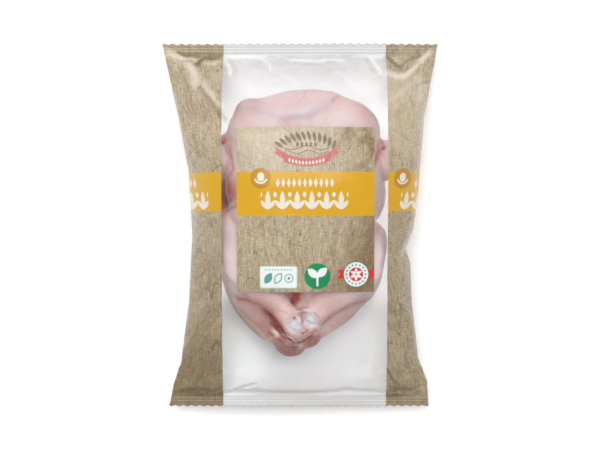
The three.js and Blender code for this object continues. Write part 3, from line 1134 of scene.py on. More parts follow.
def thicken(piece, thickness):
    wall = piece.modifiers.new("wall", "SOLIDIFY")
    wall.thickness = thickness
    wall.offset = -1
    piece.data = evaluated(piece)
    piece.modifiers.clear()
    piece.data.set_sharp_from_angle(angle=math.radians(60))


# ------------------------------------------------------------ materials

# Colour sockets of a Mix node.
MIX_A, MIX_B, MIX_RESULT = 6, 7, 2

# Degrees in a radian.
DEGREES = 57.2958

# Half length of the flat film in millimetres, for the print.
FLAT_HALF = 172.5

# Golden band on the sides and on the label, each from its low to its high edge, and how far the ornaments
# of the label are moved to the left and to the right for their copies on the sides. All in millimetres.
SIDE_BAND = (12.3, 47.0)
LABEL_BAND = (8.2, 47.0)
LEFT_COPY = 147
RIGHT_COPY = 139.8

# Bare middles of the joint ends: x, y, half sizes, corner, turn in degrees, and softness of the edge.
BARE_ENDS = (
    (-4.2, -90, 5.6, 3.9, 3.8, -43, 2.4),
    (9.9, -84.7, 3.9, 2.3, 2.2, -25, 2.6),
)

# x of the middle of the label, in millimetres.
LABEL_MIDDLE = 4.8

# Middle of the emblem, and the centres of its arch of leaves and of its curved ribbon.
EMBLEM_X = 5.7
ARCH_CENTRE = (EMBLEM_X, 36.4)
RIBBON_CENTRE = (EMBLEM_X, 100.5)

# Inks and other plain colours, and the colours of painted light and painted shade.
WHITE = (1, 1, 1)
BROWN_INK = (0.14, 0.075, 0.05)
RIBBON_INK = (0.47, 0.10, 0.10)
RIBBON_END_INK = (0.50, 0.13, 0.12)
RIBBON_FOLD_INK = (0.22, 0.05, 0.05)
BEAD_INK = (0.80, 0.66, 0.58)
CARD_INK = (0.80, 0.84, 0.82)
CARD_RIM_INK = (0.42, 0.62, 0.56)
TEAL_INK = (0.03, 0.27, 0.23)
GREEN_INK = (0.0, 0.25, 0.085)
RED_INK = (0.66, 0.02, 0.03)
ROSETTE_RIM_INK = (0.05, 0.16, 0.12)
ROSETTE_MARK_INK = (0.04, 0.12, 0.10)
LABEL_PAINTED_LIGHT = (0.66, 0.58, 0.46)
LOW_SHADE = (0.56, 0.515, 0.42)
CORNER_SHADE = (0.515, 0.40, 0.27)
RIM_LIGHT = (0.84, 0.81, 0.75)
STREAK_PAINTED_LIGHT = (0.80, 0.73, 0.62)
STREAK_PAINTED_SHADE = (0.115, 0.075, 0.04)
ROSE = (0.50, 0.19, 0.15)
GAP_PAINTED_SHADE = (0.14, 0.07, 0.06)
SINEW = (0.52, 0.43, 0.44)
INK_THROUGH = (0.72, 0.66, 0.56, 1)
CLEAR_THROUGH = (0.99, 0.99, 0.99, 1)
CLEAR_LIGHT = (0.93, 0.93, 0.94, 1)
CLEAR_DARK = (0.36, 0.36, 0.37, 1)
LINER_LIGHT = (0.735, 0.755, 0.765)
LINER_DARK = (0.685, 0.705, 0.715)
LINER_FOOT_SHADE = (0.5, 0.5, 0.5)
LINER_NECK_SHADE = (0.55, 0.56, 0.57)
LINER_SEAL_SHADE = (0.42, 0.415, 0.415)
LINER_CONTACT_SHADE = (0.25, 0.25, 0.26)


class Amount:
    """A number that varies over a surface. Its operators add Math nodes."""

    def __init__(self, paint, socket):
        self.paint = paint
        self.socket = socket

    def math(self, operation, *others, first=None):
        values = [self if first is None else first, *others]
        node = self.paint.node("ShaderNodeMath", {"operation": operation}, dict(enumerate(values)))
        return Amount(self.paint, node.outputs[0])

    def __add__(self, other):
        return self.math("ADD", other)

    def __sub__(self, other):
        return self.math("SUBTRACT", other)

    def __rsub__(self, other):
        return self.math("SUBTRACT", self, first=other)

    def __mul__(self, other):
        return self.math("MULTIPLY", other)

    def __truediv__(self, other):
        return self.math("DIVIDE", other)

    def __pow__(self, other):
        return self.math("POWER", other)

    __radd__ = __add__
    __rmul__ = __mul__

    def most(self, other):
        return self.math("MAXIMUM", other)

    def size(self):
        return self.math("ABSOLUTE")

    def line(self, half, soft=0.3):
        """1 where the amount is within half of zero."""
        return self.size().ramp(half + soft, half - soft)

    def cell(self, pitch):
        """Place inside a repeated cell whose middle is zero."""
        return ((self / pitch + 100.5).math("FRACT") - 0.5) * pitch

    def ramp(self, start, end):
        """0 at start and 1 at end, with soft shoulders."""
        node = self.paint.node("ShaderNodeMapRange", {"interpolation_type": "SMOOTHSTEP"}, {
            0: self, 1: start, 2: end, 3: 0.0, 4: 1.0})
        return Amount(self.paint, node.outputs[0])


class Paint:
    """One material and the few ways that its nodes are added."""

    def __init__(self, name):
        self.material = bpy.data.materials.new(name)
        self.material.use_nodes = True
        self.tree = self.material.node_tree
        self.tree.nodes.clear()
        self.output = self.tree.nodes.new("ShaderNodeOutputMaterial")

    def node(self, kind, settings=None, inputs=None):
        """A new node: its settings first, then the values and links of its sockets."""
        node = self.tree.nodes.new(kind)
        for name, value in (settings or {}).items():
            setattr(node, name, value)
        for name, value in (inputs or {}).items():
            value = getattr(value, "socket", value)
            if isinstance(value, bpy.types.NodeSocket):
                self.tree.links.new(value, node.inputs[name])
            else:
                node.inputs[name].default_value = value
        return node

    def vector(self, operation, *values):
        node = self.node("ShaderNodeVectorMath", {"operation": operation}, dict(enumerate(values)))
        return node.outputs[0]

    def length(self, value):
        node = self.node("ShaderNodeVectorMath", {"operation": "LENGTH"}, {0: value})
        return Amount(self, node.outputs["Value"])

    def surface_point(self):
        """Place on the piece, in millimetres."""
        place = self.node("ShaderNodeTexCoord").outputs["Object"]
        return self.vector("MULTIPLY", place, (1000, 1000, 1000))

    def print_point(self):
        """Place on the flat film, in millimetres."""
        uv = self.node("ShaderNodeUVMap", {"uv_map": "print"}).outputs[0]
        return self.vector("MULTIPLY", uv, (1000, 1000, 0))

    def layer(self, name):
        return Amount(self, self.node("ShaderNodeAttribute", {"attribute_name": name}).outputs["Fac"])

    def split(self, point):
        outputs = self.node("ShaderNodeSeparateXYZ", None, {0: point}).outputs
        return [Amount(self, output) for output in outputs]

    def noise(self, point, size, detail=2.0, stretch=(1, 1, 1), turn=0.0, shift=0.0):
        """Noise whose features are about size millimetres, longer along an axis with a stretch over 1."""
        mapping = self.node("ShaderNodeMapping", {"vector_type": "TEXTURE"}, {
            "Vector": point,
            "Rotation": (0, 0, math.radians(turn)),
            "Location": (shift, shift * 0.7, shift * 0.3),
            "Scale": tuple(size * value for value in stretch)})
        node = self.node("ShaderNodeTexNoise", None, {
            "Vector": mapping.outputs[0], "Scale": 1.0, "Detail": detail, "Roughness": 0.55})
        return Amount(self, node.outputs[0])

    def hairs(self, point, size, width, stretch=(1, 1, 1), turn=0.0, shift=0.0):
        """Thin wandering lines with gaps, their width a share of their size."""
        wave = self.noise(point, size, 0, stretch, turn, shift)
        shown = self.noise(point, size * 1.3, 1, shift=shift + 3).ramp(0.47, 0.56)
        return (wave - 0.5).size().ramp(width, width * 0.3) * shown

    def moved(self, point, centre, degrees=0.0):
        """A point seen from a centre, in a frame turned about it."""
        place = self.vector("SUBTRACT", point, (*centre, 0))
        if degrees:
            place = self.node("ShaderNodeVectorRotate", {"rotation_type": "Z_AXIS"},
                              {"Vector": place, "Angle": math.radians(-degrees)}).outputs[0]
        return place

    def turned(self, point, centre, degrees=0.0):
        """x and y from a centre, in a frame turned about it."""
        return self.split(self.moved(point, centre, degrees))[:2]

    def polar(self, point, centre):
        """Angle in degrees clockwise from straight up, and distance in millimetres."""
        x, y = self.turned(point, centre)
        away = (x * x + y * y).math("SQRT")
        return x.math("ARCTAN2", y) * DEGREES, away

    def mix(self, share, a, b):
        """The colour at a share of the way from a to b."""
        a, b = (value if isinstance(value, bpy.types.NodeSocket) else (*value[:3], 1.0) for value in (a, b))
        node = self.node(
            "ShaderNodeMix", {"data_type": "RGBA", "clamp_factor": True}, {0: share, MIX_A: a, MIX_B: b})
        return node.outputs[MIX_RESULT]

    def coated(self, colour, *coats):
        """A colour under coats, each given as a share and a colour."""
        for share, coat in coats:
            colour = self.mix(share, colour, coat)
        return colour

    def multiply(self, a, b):
        return self.vector("MULTIPLY", a, b)

    def plate(self, point, centre, half, corner=0.0, turn=0.0, soft=0.35):
        """1 inside a box with round corners, 0 outside it. All sizes in millimetres."""
        place = self.moved(point, centre, turn)
        place = self.vector("ABSOLUTE", self.vector("MULTIPLY", place, (1, 1, 0)))
        place = self.vector("SUBTRACT", place, (half[0] - corner, half[1] - corner, 0))
        away = self.length(self.vector("MAXIMUM", place, (0, 0, 0)))
        return away.ramp(corner + soft, corner - soft)

    def disc(self, point, centre, radius, soft=0.35):
        return self.plate(point, centre, (radius, radius), radius, soft=soft)

    def bump(self, height, distance):
        return self.node("ShaderNodeBump", None, {
            "Height": height, "Distance": distance, "Strength": 1.0}).outputs[0]

    def join(self, share, a, b):
        """The shader at a share of the way from a to b."""
        return self.node("ShaderNodeMixShader", None, {0: share, 1: a.outputs[0], 2: b.outputs[0]})

    def principled(self, **inputs):
        names = {name.replace("_", " "): value for name, value in inputs.items()}
        return self.node("ShaderNodeBsdfPrincipled", None, names)

    def finish(self, shader):
        self.tree.links.new(shader.outputs[0], self.output.inputs["Surface"])
        return self.material


def rgba(colour, shade=1.0):
    return (colour[0] * shade, colour[1] * shade, colour[2] * shade, 1.0)


def painted_fill_glow(paint, point, colour, share, rest=0.0):
    """Painted light: an emission colour that makes the parts beside the label glow, standing in for fill
    light there, with a weaker glow of rest elsewhere.
    """
    x, y, _ = paint.split(point)
    beside = (x - LABEL_MIDDLE).size().ramp(50, 66) * y.ramp(-85, -55) * y.ramp(125, 90)
    glow = beside * (share - rest) + rest
    grey = paint.node("ShaderNodeCombineXYZ", None, {0: glow, 1: glow, 2: glow}).outputs[0]
    return paint.multiply(colour, grey)


def skin_colour(paint, point, look):
    """Pale pink skin with its flush and its tints, among them painted light and painted shade, and blood
    red and painted shade in its creases.
    """
    blotch = paint.noise(point, 26, 3).ramp(0.35, 0.68)
    mottle = paint.noise(point, 7, 3, shift=5).ramp(0.3, 0.75)
    pale = paint.noise(point, 13, 2, shift=20).ramp(0.6, 0.8)
    _, y, _ = paint.split(point)
    legs = y.ramp(-35, -95)
    rose = paint.noise(point, 4.5, 3, shift=47).ramp(0.48, 0.72) * legs
    # Blood red and painted shade: the hollows of the skin darkened towards the red of blood.
    crease = paint.layer("crease")
    red = (crease * 0.4).most(paint.layer("blood_and_shade")) + mottle * crease * 0.25
    # Painted shade: a dark patch in the gap between the left wing and thigh.
    gap = paint.plate(point, (-69, 31), (5, 15), 4, soft=3)
    return paint.coated(
        rgba(look.skin),
        (blotch * 0.65 + mottle * 0.3, look.flush),
        (paint.layer("lilac_and_shade"), look.lilac_and_shade),
        (pale * 0.25, look.fat_and_light),
        (legs * 0.5, look.flush),
        (rose * 0.4, ROSE),
        (paint.layer("brown_shade"), look.brown_shade),
        # Painted shade: the tail darker towards its end.
        (y.ramp(-98, -118) * 0.5, rgba(look.brown_shade, 0.45)),
        (paint.layer("painted_haze"), look.painted_haze),
        (paint.layer("fat_and_light"), look.fat_and_light),
        (paint.layer("gristle"), look.cartilage),
        (red, look.blood_and_shade),
        (gap * 0.5, GAP_PAINTED_SHADE),
    )


def skin_material(look):
    paint = Paint("chicken_skin")
    point = paint.surface_point()
    grain = paint.noise(point, 1.6, 3, shift=11)
    pores = paint.node("ShaderNodeTexVoronoi", {"feature": "SMOOTH_F1"}, {
        "Vector": point, "Scale": 0.24, "Smoothness": 0.4, "Randomness": 0.7}).outputs["Distance"]
    pimple = Amount(paint, pores).ramp(0.34, 0.05)
    colour = paint.mix(pimple * 0.13, skin_colour(paint, point, look), rgba(look.skin, 1.08))
    wrinkle = paint.noise(point, 2.6, 2, stretch=(1, 2.6, 1), turn=25, shift=31)
    height = pimple * 0.22 + wrinkle * 0.5 + grain * 0.2
    normal = paint.bump(height, 0.00035)
    # Painted light: the emission makes the skin beside the label glow, standing in for fill light.
    shader = paint.principled(
        Base_Color=colour, Roughness=grain * 0.18 + 0.3, Normal=normal, Subsurface_Weight=0.22,
        Subsurface_Scale=0.004, Subsurface_Radius=(1.0, 0.35, 0.22), Specular_IOR_Level=0.3,
        Coat_Weight=0.06, Coat_Roughness=0.25, Emission_Color=painted_fill_glow(paint, point, colour, 0.24),
        Emission_Strength=1.0)
    return paint.finish(shader)


def cartilage_material(look):
    paint = Paint("joint_cartilage")
    point = paint.surface_point()
    cloud = paint.noise(point, 4, 3).ramp(0.3, 0.75)
    vein = paint.noise(point, 2.2, 2, stretch=(1, 2.5, 1), turn=30, shift=4).ramp(0.58, 0.72)
    colour = paint.mix(cloud, rgba(look.cartilage), rgba(look.cartilage, 0.78))
    colour = paint.mix(vein * 0.3, colour, rgba(look.flush))
    left, right = (paint.plate(point, (x, y), (long, wide), corner, turn=turn, soft=soft)
                   for x, y, long, wide, corner, turn, soft in BARE_ENDS)
    colour = paint.mix(left.most(right), SINEW, colour)
    normal = paint.bump(cloud + vein * 0.5, 0.0003)
    shader = paint.principled(
        Base_Color=colour, Roughness=cloud * 0.12 + 0.3, Normal=normal, Subsurface_Weight=0.3,
        Subsurface_Scale=0.002, Subsurface_Radius=(0.8, 0.7, 0.9), Coat_Weight=0.12, Coat_Roughness=0.2)
    return paint.finish(shader)


def leaf(across, along, wide, long):
    """1 inside a pointed leaf with the given half sizes."""
    return (across.size() / wide + (along / long) * (along / long)).ramp(1.12, 0.88)


def crimps(paint, flat):
    """The crimped bands at both ends, and the lines pressed into them."""
    _, v, _ = paint.split(flat)
    inset = FLAT_HALF - v.size()
    band = inset.ramp(11.6, 10.4)
    lines = (inset - 1.4).cell(2.75).line(0.35) * inset.ramp(3.0, 4.2) * inset.ramp(12.6, 12.2)
    return band, lines


def jute(paint, point, layout, light):
    """Colour and thread height of the printed jute."""
    warp = paint.noise(point, 1.0, 1, stretch=(1, 9, 1))
    weft = paint.noise(point, 1.0, 1, stretch=(6, 1, 1), shift=7)
    grain = paint.noise(point, 1.3, 2, shift=13)
    grain_line = paint.noise(point, 2.4, 2, stretch=(1, 11, 1), turn=3, shift=19)
    patch = paint.noise(point, 9, 3, stretch=(1, 1.8, 1), shift=17)
    cloud = paint.noise(point, 30, 2, stretch=(1, 1.4, 1), shift=23)
    weave = warp * 0.42 + weft * 0.3 + grain * 0.28
    hair = paint.hairs(point, 15, 0.012, stretch=(1, 4, 1), turn=16, shift=31).most(
        paint.hairs(point, 17, 0.010, stretch=(1, 4, 1), turn=-36, shift=43)).most(
        paint.hairs(point, 13, 0.010, stretch=(1, 3, 1), turn=58, shift=59) * 0.8)
    slash = paint.noise(point, 1.0, 0, stretch=(0.8, 8, 1), turn=-9, shift=53).ramp(0.68, 0.78)
    dark, pale = rgba(layout.jute_dark, light), rgba(layout.jute_light, light)
    colour = paint.coated(
        rgba(layout.jute, light),
        (weave.ramp(0.5, 0.40) * 0.62, dark),
        (weave.ramp(0.5, 0.60) * 0.6, pale),
        (grain_line.ramp(0.5, 0.72) * 0.32, dark),
        (grain_line.ramp(0.5, 0.3) * 0.22, pale),
        (patch.ramp(0.5, 0.75) * 0.3, rgba(dark, 1.4)),
        (cloud.ramp(0.5, 0.2) * 0.35, pale),
        (hair.most(slash) * 0.6, rgba(dark, 0.7)),
    )
    return colour, weave


def band_ornament(paint, point):
    """A disc, and cream ornaments: an egg in a nest on it, a row of diamonds and a row of sprouts."""
    place = (-34.8, 41.4)
    disc = paint.disc(point, place, 9.2)
    egg = paint.plate(point, (-34.8, 42.6), (3.0, 4.0), 2.99)
    _, y = paint.turned(point, place)
    _, away = paint.polar(point, (-34.8, 42.4))
    nest = (away - 5.3).line(0.8) * y.ramp(-0.4, -0.8)
    x, small = paint.turned(point, (4.4, 37.3))
    row = (x.cell(4.8).size() / 1.7 + small.size() / 4.1).ramp(1.15, 0.85) * x.size().ramp(26.6, 26.2)
    x, tall = paint.turned(point, (4.0, 21.4))
    u = (x - 6.5).cell(13)
    stem = leaf(u, tall - 1.2, 2.3, 7.6)
    low = tall + 7.4
    blade = leaf(u.size() * 0.77 - low * 0.64, u.size() * 0.64 + low * 0.77 - 5.2, 1.9, 5.4)
    bead = leaf(x.cell(13), tall - 5.6, 1.7, 2.6)
    big = stem.most(blade).most(bead) * x.size().ramp(38.8, 38.4)
    return disc, egg.most(nest).most(row).most(big)


def golden(paint, colour, point, layout, band_edges):
    """The golden band with its ornaments, laid over a colour."""
    low, high = band_edges
    _, y, _ = paint.split(point)
    band = y.ramp(low - 0.3, low + 0.3) * y.ramp(high + 0.3, high - 0.3)
    disc, ornament = band_ornament(paint, point)
    tone = paint.noise(point, 30, 1)
    gold = paint.mix(tone, rgba(layout.gold), rgba(layout.gold, 0.88))
    shade = (layout.gold[0] * 0.72, layout.gold[1] * 0.62, layout.gold[2])
    return paint.coated(colour, (band, gold), (disc, shade), (ornament * band.most(disc), layout.cream))


def streaked(paint, colour, light, dark):
    """A colour with the painted highlights and painted shade of the streaks on the folded film."""
    streak = paint.layer("streak")
    colour = paint.mix(streak.most(0) * 0.8, colour, light)
    return paint.mix((streak * -1).most(0) * 0.85, colour, dark)


def film_gloss(paint, colour, weave):
    """The printed film: satin ink that lets a little light through."""
    colour = streaked(paint, colour, STREAK_PAINTED_LIGHT, STREAK_PAINTED_SHADE)
    creases = paint.noise(paint.print_point(), 9, 3, stretch=(1.4, 1, 1), shift=61)
    normal = paint.bump(creases + weave * 0.06, 0.0006)
    ink = paint.principled(
        Base_Color=colour, Roughness=creases * 0.12 + 0.2, Normal=normal, Specular_IOR_Level=0.45)
    through = paint.node("ShaderNodeBsdfTranslucent", None, {"Color": INK_THROUGH})
    return paint.join(0.22, ink, through)


def printed_material(layout):
    paint = Paint("printed_film")
    flat = paint.print_point()
    point = paint.surface_point()
    colour, weave = jute(paint, flat, layout, 1.1)
    u, v, _ = paint.split(flat)
    # Painted shade: the printed film darker towards the foot end, and most at its lower left.
    low = v.ramp(60, -60) * 0.42 + (v + u * 0.3).ramp(-90, -175) * 0.58
    colour = paint.multiply(colour, paint.mix(low, WHITE, LOW_SHADE))
    # Painted light: the printed film lighter towards its upper right, fading next to the top seal.
    painted_upper_light = (v + u * 0.5).ramp(90, 150) * v.ramp(150, 135)
    colour = paint.mix(painted_upper_light * 0.35, colour, rgba(layout.jute_light, 1.1))
    _, y, _ = paint.split(point)
    along = u - (u.ramp(-1, 1) * (LEFT_COPY + RIGHT_COPY) - LEFT_COPY)
    around = paint.node("ShaderNodeCombineXYZ", None, {0: along, 1: y}).outputs[0]
    colour = golden(paint, colour, around, layout, SIDE_BAND)
    band, lines = crimps(paint, flat)
    # Painted shade: the seal bands a little darker, and darker lines along their crimps.
    colour = paint.mix(band * 0.12 + lines * 0.4, colour, rgba(layout.jute_dark, 1.2))
    # Painted highlight: a pale line along the right side fold, from the top seal down to the tuck.
    rim = u.ramp(123.8, 124.2) * v.ramp(-38, -30) * v.ramp(154, 146)
    colour = paint.mix(rim * 0.65, colour, RIM_LIGHT)
    return paint.finish(film_gloss(paint, colour, weave))


def crest(paint, point):
    """An arch of leaves over hatched hills with a few trees."""
    angle, away = paint.polar(point, ARCH_CENTRE)
    along = (angle - 3.2).cell(6.4) * 0.74 + (away - 42.6) * 0.3
    arch = leaf(along, away - 42.6, 1.75, 4.5) * angle.size().ramp(38.6, 38.2)
    x, y = paint.turned(point, (EMBLEM_X, 0))
    ridge = y - 68.4 - (x * 0.24).math("COSINE") * 1.7
    slope = y - 64.6 - (x * 0.3 + 0.9).math("SINE") * 1.5
    furrow = (x + (y - 58) * 0.9).cell(3.1).line(0.3, 0.25) * slope.ramp(-0.3, -0.9)
    oval = paint.plate(point, (EMBLEM_X, 65.8), (19.5, 6.6), 6.5)
    hills = ridge.line(0.4).most(slope.line(0.4)).most(furrow * 0.8) * oval
    trees = leaf(x.cell(4.0), y - 71.4, 1.25, 2.3) * x.size().ramp(10.2, 9.8)
    return arch.most(hills).most(trees)


def emblem(paint, point, colour):
    """A brown crest over a curved red ribbon with notched ends."""
    x, _ = paint.turned(point, (EMBLEM_X, 0))
    _, away = paint.polar(point, RIBBON_CENTRE)
    middle = (away - 45.6).line(2.9) * x.size().ramp(20.4, 20.0)
    end = (away - 43.8).line(2.6) * (x.size() - (away - 43.8).size() * 0.9).ramp(26.6, 26.2)
    fold = (x.size() - 20.4).line(0.35, 0.2) * end
    beads = leaf(x.cell(3.0), away - 45.6, 0.95, 1.9) * x.size().ramp(16.7, 16.3)
    return paint.coated(
        colour,
        (crest(paint, point) * 0.85, BROWN_INK),
        (end, RIBBON_END_INK),
        (middle, RIBBON_INK),
        (fold * (1 - middle), RIBBON_FOLD_INK),
        (beads, BEAD_INK),
    )


def card(paint, point, colour):
    """A pale card with two leaves and a ring under a dotted line."""
    rim = paint.plate(point, (-19.1, -46.4), (16.8, 10), 2)
    face = paint.plate(point, (-19.1, -46.4), (16.1, 9.3), 1.6)
    u, v = paint.turned(point, (-28.2, -47.4), -32)
    marks = leaf(u, v, 3.3, 5.8)
    u, v = paint.turned(point, (-19.4, -47.4), -32)
    marks = marks.most(leaf(u, v, 3.3, 5.8) - leaf(u, v, 2.3, 4.4))
    _, away = paint.polar(point, (-9.9, -47.4))
    marks = marks.most((away - 3.6).line(0.4)).most(away.ramp(1.5, 1.0))
    u, v = paint.turned(point, (-19.1, -39.8))
    marks = marks.most(u.cell(2.6).line(0.7) * v.line(0.5) * u.size().ramp(13.0, 12.6))
    return paint.coated(colour, (rim, CARD_RIM_INK), (face, CARD_INK), (marks * 0.9, TEAL_INK))


def sprout_disc(paint, point, colour):
    """A green disc with a sprout of two leaves."""
    disc = paint.disc(point, (15.5, -45.5), 11.6)
    left = paint.turned(point, (11.5, -43.0), 48)
    right = paint.turned(point, (19.5, -42.2), -48)
    stalk = paint.plate(point, (15.5, -49.5), (0.9, 5), 0.8)
    sprout = leaf(*left, 3.4, 6.2).most(leaf(*right, 3.4, 6.2)).most(stalk)
    return paint.coated(colour, (disc, GREEN_INK), (sprout, CARD_INK))


def rosette(paint, point, colour):
    """A round rosette with six petals on a red ribbon."""
    u, v = paint.turned(point, (52.2, -43.8))
    ribbon = v.line(4.0) * (u.size() - v.size() * 0.7).ramp(16.5, 16.1)
    angle, away = paint.polar(point, (50.0, -44.0))
    petals = leaf(angle.cell(60) * away / DEGREES, away - 3.2, 1.3, 2.6)
    ring = (angle.cell(22.5) * away / DEGREES).line(0.75) * (away - 8.7).line(0.75)
    return paint.coated(
        colour,
        (ribbon, RED_INK),
        (away.ramp(11.8, 11.3), ROSETTE_RIM_INK),
        (away.ramp(11.2, 10.7), CARD_INK),
        (away.ramp(6.5, 6.0), RED_INK),
        (petals, CARD_INK),
        (ring * 0.85, ROSETTE_MARK_INK),
    )


def label_material(layout):
    paint = Paint("label_print")
    flat = paint.print_point()
    point = paint.surface_point()
    colour, weave = jute(paint, flat, layout, 1.1)
    x, y, _ = paint.split(point)
    # Painted light: the label lighter towards its upper left.
    pale = (x * -0.6 + y).ramp(20, 110)
    colour = paint.mix(pale * 0.4, colour, LABEL_PAINTED_LIGHT)
    # Painted shade: the label darker in uneven patches towards its upper right, and darker towards its
    # lower right corner.
    uneven_shade = paint.noise(point, 16, 3, shift=71).ramp(0.4, 0.7)
    corner = (x * 0.9 + y * 0.55).ramp(40, 110) * uneven_shade
    low_corner_shade = (x - y * 0.5).ramp(32, 82)
    shade = paint.mix(corner.most(low_corner_shade * 0.9), WHITE, CORNER_SHADE)
    colour = golden(paint, paint.multiply(colour, shade), point, layout, LABEL_BAND)
    for motif in (emblem, card, sprout_disc, rosette):
        colour = motif(paint, point, colour)
    across = (layout.label_left / MM, layout.label_right / MM)
    along = (layout.label_bottom / MM, layout.label_top / MM)
    middle = (sum(across) / 2, sum(along) / 2)
    half = ((across[1] - across[0]) / 2, (along[1] - along[0]) / 2)
    inside = paint.plate(point, middle, half, 1.2, soft=0.2)
    return paint.finish(paint.join(inside, clear_shader(paint), film_gloss(paint, colour, weave)))


def clear_shader(paint):
    """Clear film: see-through and glossy, with a faint haze, and with painted highlights and painted shade
    in its streaks.
    """
    ripple = paint.noise(paint.print_point(), 12, 3, stretch=(1.5, 1, 1))
    normal = paint.bump(ripple, 0.00025)
    clear = paint.node("ShaderNodeBsdfTransparent", None, {"Color": CLEAR_THROUGH})
    # The white and grey diffuse shaders give the film its faint haze and paint the highlights and the shade
    # of its streaks.
    white = paint.node("ShaderNodeBsdfDiffuse", None, {"Color": CLEAR_LIGHT})
    grey = paint.node("ShaderNodeBsdfDiffuse", None, {"Color": CLEAR_DARK})
    gloss = paint.node("ShaderNodeBsdfGlossy", None, {
        "Color": (1, 1, 1, 1), "Roughness": 0.24, "Normal": normal})
    streak = paint.layer("streak")
    painted_streak_tone = paint.join(streak.ramp(0.02, -0.02), white, grey)
    haze_and_painted_streaks = paint.join(streak.size() * 0.75 + 0.006, clear, painted_streak_tone)
    facing = Amount(paint, paint.node("ShaderNodeLayerWeight", None, {"Blend": 0.5}).outputs["Facing"])
    return paint.join(facing ** 3.0 * 0.16 + 0.009, haze_and_painted_streaks, gloss)


def clear_material(_layout):
    paint = Paint("clear_film")
    return paint.finish(clear_shader(paint))


def liner_material():
    paint = Paint("white_liner")
    flat = paint.print_point()
    crinkle = paint.noise(flat, 14, 3)
    band, lines = crimps(paint, flat)
    u, v, _ = paint.split(flat)
    # Painted shade: the liner darker towards the foot seal, least at the far left, and near the neck seal
    # in the middle.
    foot = v.ramp(-80, -150) * (u.ramp(-64, -24) * 0.62 + 0.08)
    neck = v.ramp(112, 138) * (u - 4).size().ramp(66, 30) * 0.32
    point = paint.surface_point()
    # Painted shadow: a soft dark band along the lower left side of the bird's left flank and tail.
    painted_contact_shadow = paint.plate(point, (-42, -95), (36, 4), 3.9, turn=-48, soft=14)
    colour = paint.coated(
        LINER_LIGHT,
        (crinkle, LINER_DARK),
        (foot, LINER_FOOT_SHADE),
        (neck, LINER_NECK_SHADE),
        # Painted shade: the seals and the lines of their crimps darker.
        (band * 0.76 + lines * 0.2, LINER_SEAL_SHADE),
        (painted_contact_shadow * 0.55, LINER_CONTACT_SHADE),
    )
    normal = paint.bump(crinkle, 0.0004)
    # Painted light: the liner glows a little everywhere and more beside the label, standing in for fill
    # light.
    glow = painted_fill_glow(paint, point, colour, 0.65, 0.2)
    return paint.finish(paint.principled(
        Base_Color=colour, Roughness=crinkle * 0.1 + 0.45, Normal=normal, Emission_Color=glow,
        Emission_Strength=1.0))


def floor_material(look):
    paint = Paint("floor")
    cloud = paint.noise(paint.surface_point(), 300, 2)
    colour = paint.mix(cloud, rgba(look.floor), rgba(look.floor, 0.985))
    return paint.finish(paint.principled(
        Base_Color=colour, Roughness=0.9, Specular_IOR_Level=0.1, Emission_Color=colour,
        Emission_Strength=0.16))


# ------------------------------------------------------------ operators

# Half side of the floor, and side and place of the main light, in metres.
FLOOR_HALF = 4
KEY_SIZE = 1.2
KEY_PLACE = (-0.14, 0.5, 1.45)

# Width of the camera's sensor in millimetres, and height in metres of the bag's edges above the floor.
SENSOR = 36
EDGE_HEIGHT = 0.03


class CHICKEN_OT_bird(Operator):
    """Makes the whole raw bird, on its back with crossed drumsticks"""

    bl_idname = "chicken.bird"
    bl_label = "Bird"

    def execute(self, context):
        piece = add_piece("chicken", bird_mesh())
        dress(piece, skin_material(context.scene.bird_look))
        return {"FINISHED"}


class CHICKEN_OT_knuckles(Operator):
    """Makes the two bare joint ends of the drumsticks"""

    bl_idname = "chicken.knuckles"
    bl_label = "Joint ends"

    def execute(self, context):
        mesh = fused(KNUCKLES, (), cell=0.7, rounds=4)
        dress(add_piece("joint_ends", mesh), cartilage_material(context.scene.bird_look))
        return {"FINISHED"}


class CHICKEN_OT_bag(Operator):
    """Makes the film bag: printed sides and back, clear window, label panel and white inner face"""

    bl_idname = "chicken.bag"
    bl_label = "Bag"

    def execute(self, context):
        sizes, layout = context.scene.bag_sizes, context.scene.print_layout
        film = whole_film(sizes, bpy.data.objects["chicken"])
        cut_lines(film, layout)

        def in_window(face, centre):
            return face.material_index == 0 and layout.window_left < centre.x < layout.window_right

        def in_label(face, centre):
            return (in_window(face, centre) and layout.label_left < centre.x < layout.label_right
                    and layout.label_bottom < centre.y < layout.label_top)

        def beside_window(face, centre):
            return not in_window(face, centre)

        def around_label(face, centre):
            return in_window(face, centre) and not in_label(face, centre)

        parts = (
            ("printed_film", "printed_film", printed_material, beside_window),
            ("window_film", "clear_film", clear_material, around_label),
            ("label_panel", "printed_film", label_material, in_label),
        )
        for name, slot, material, keep in parts:
            piece = film_part(film, name, keep)
            thicken(piece, sizes.film)
            dress(piece, material(layout))
        liner = film_part(film, "back_liner", lambda face, _: face.material_index == 1)
        points, normals = points_of(liner.data), points_of(liner.data, "normal")
        move_points(liner.data, points - normals * LINER_INSET)
        thicken(liner, LINER_THICKNESS)
        dress(liner, liner_material())
        return {"FINISHED"}


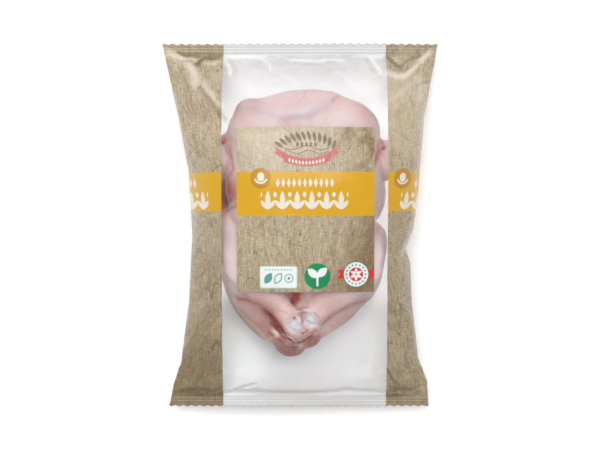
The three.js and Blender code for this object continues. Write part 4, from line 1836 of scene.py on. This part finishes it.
class CHICKEN_OT_stage(Operator):
    """Sets the floor, the lights and the camera"""

    bl_idname = "chicken.stage"
    bl_label = "Stage"

    def execute(self, context):
        scene = context.scene
        look = scene.stage_look
        floor = add_square("floor", FLOOR_HALF, cells=2)
        floor.data.materials.append(floor_material(look))
        self.add_light("key", look.key_power, KEY_SIZE, KEY_PLACE)
        self.add_sky(scene, look)
        self.add_camera(scene, look)
        scene.view_settings.view_transform = "Standard"
        return {"FINISHED"}

    def add_light(self, name, power, size, place):
        data = bpy.data.lights.new(name, "AREA")
        data.energy = power
        data.size = size
        lamp = bpy.data.objects.new(name, data)
        lamp.location = place
        lamp.rotation_euler = (-Vector(place)).to_track_quat("-Z", "Y").to_euler()
        bpy.context.scene.collection.objects.link(lamp)

    def add_sky(self, scene, look):
        world = bpy.data.worlds.new("sky")
        world.use_nodes = True
        background = world.node_tree.nodes["Background"]
        background.inputs["Color"].default_value = (1, 1, 1, 1)
        background.inputs["Strength"].default_value = look.sky_power
        scene.world = world

    def add_camera(self, scene, look):
        """A camera straight above, whose view has the given width at the bag's edges."""
        camera = bpy.data.cameras.new("camera")
        camera.sensor_width = SENSOR
        camera.lens = SENSOR * (look.camera_height - EDGE_HEIGHT) / look.view_width
        holder = bpy.data.objects.new("camera", camera)
        holder.location = (0, 0, look.camera_height)
        scene.collection.objects.link(holder)
        scene.camera = holder


class CHICKEN_PT_panel(Panel):
    """Lists the pieces of the bagged bird"""

    bl_idname = "CHICKEN_PT_panel"
    bl_label = "Bagged chicken"
    bl_space_type = "VIEW_3D"
    bl_region_type = "UI"
    bl_category = "Chicken"

    def draw(self, context):
        for operator in OPERATORS:
            self.layout.operator(operator.bl_idname)
        for name, group in GROUPS:
            box = self.layout.box()
            for prop in group.__annotations__:
                box.prop(getattr(context.scene, name), prop)


GROUPS = (
    ("bag_sizes", BagSizes),
    ("print_layout", PrintLayout),
    ("bird_look", BirdLook),
    ("stage_look", StageLook),
)
OPERATORS = (CHICKEN_OT_bird, CHICKEN_OT_knuckles, CHICKEN_OT_bag, CHICKEN_OT_stage)


def register():
    for _, group in GROUPS:
        bpy.utils.register_class(group)
    for name, group in GROUPS:
        setattr(bpy.types.Scene, name, PointerProperty(type=group))
    for item in (*OPERATORS, CHICKEN_PT_panel):
        bpy.utils.register_class(item)


def unregister():
    for item in (CHICKEN_PT_panel, *reversed(OPERATORS)):
        bpy.utils.unregister_class(item)
    for name, group in reversed(GROUPS):
        delattr(bpy.types.Scene, name)
        bpy.utils.unregister_class(group)


def main():
    register()
    bpy.ops.chicken.bird()
    bpy.ops.chicken.knuckles()
    bpy.ops.chicken.bag()
    bpy.ops.chicken.stage()


if __name__ == "__main__":
    main()
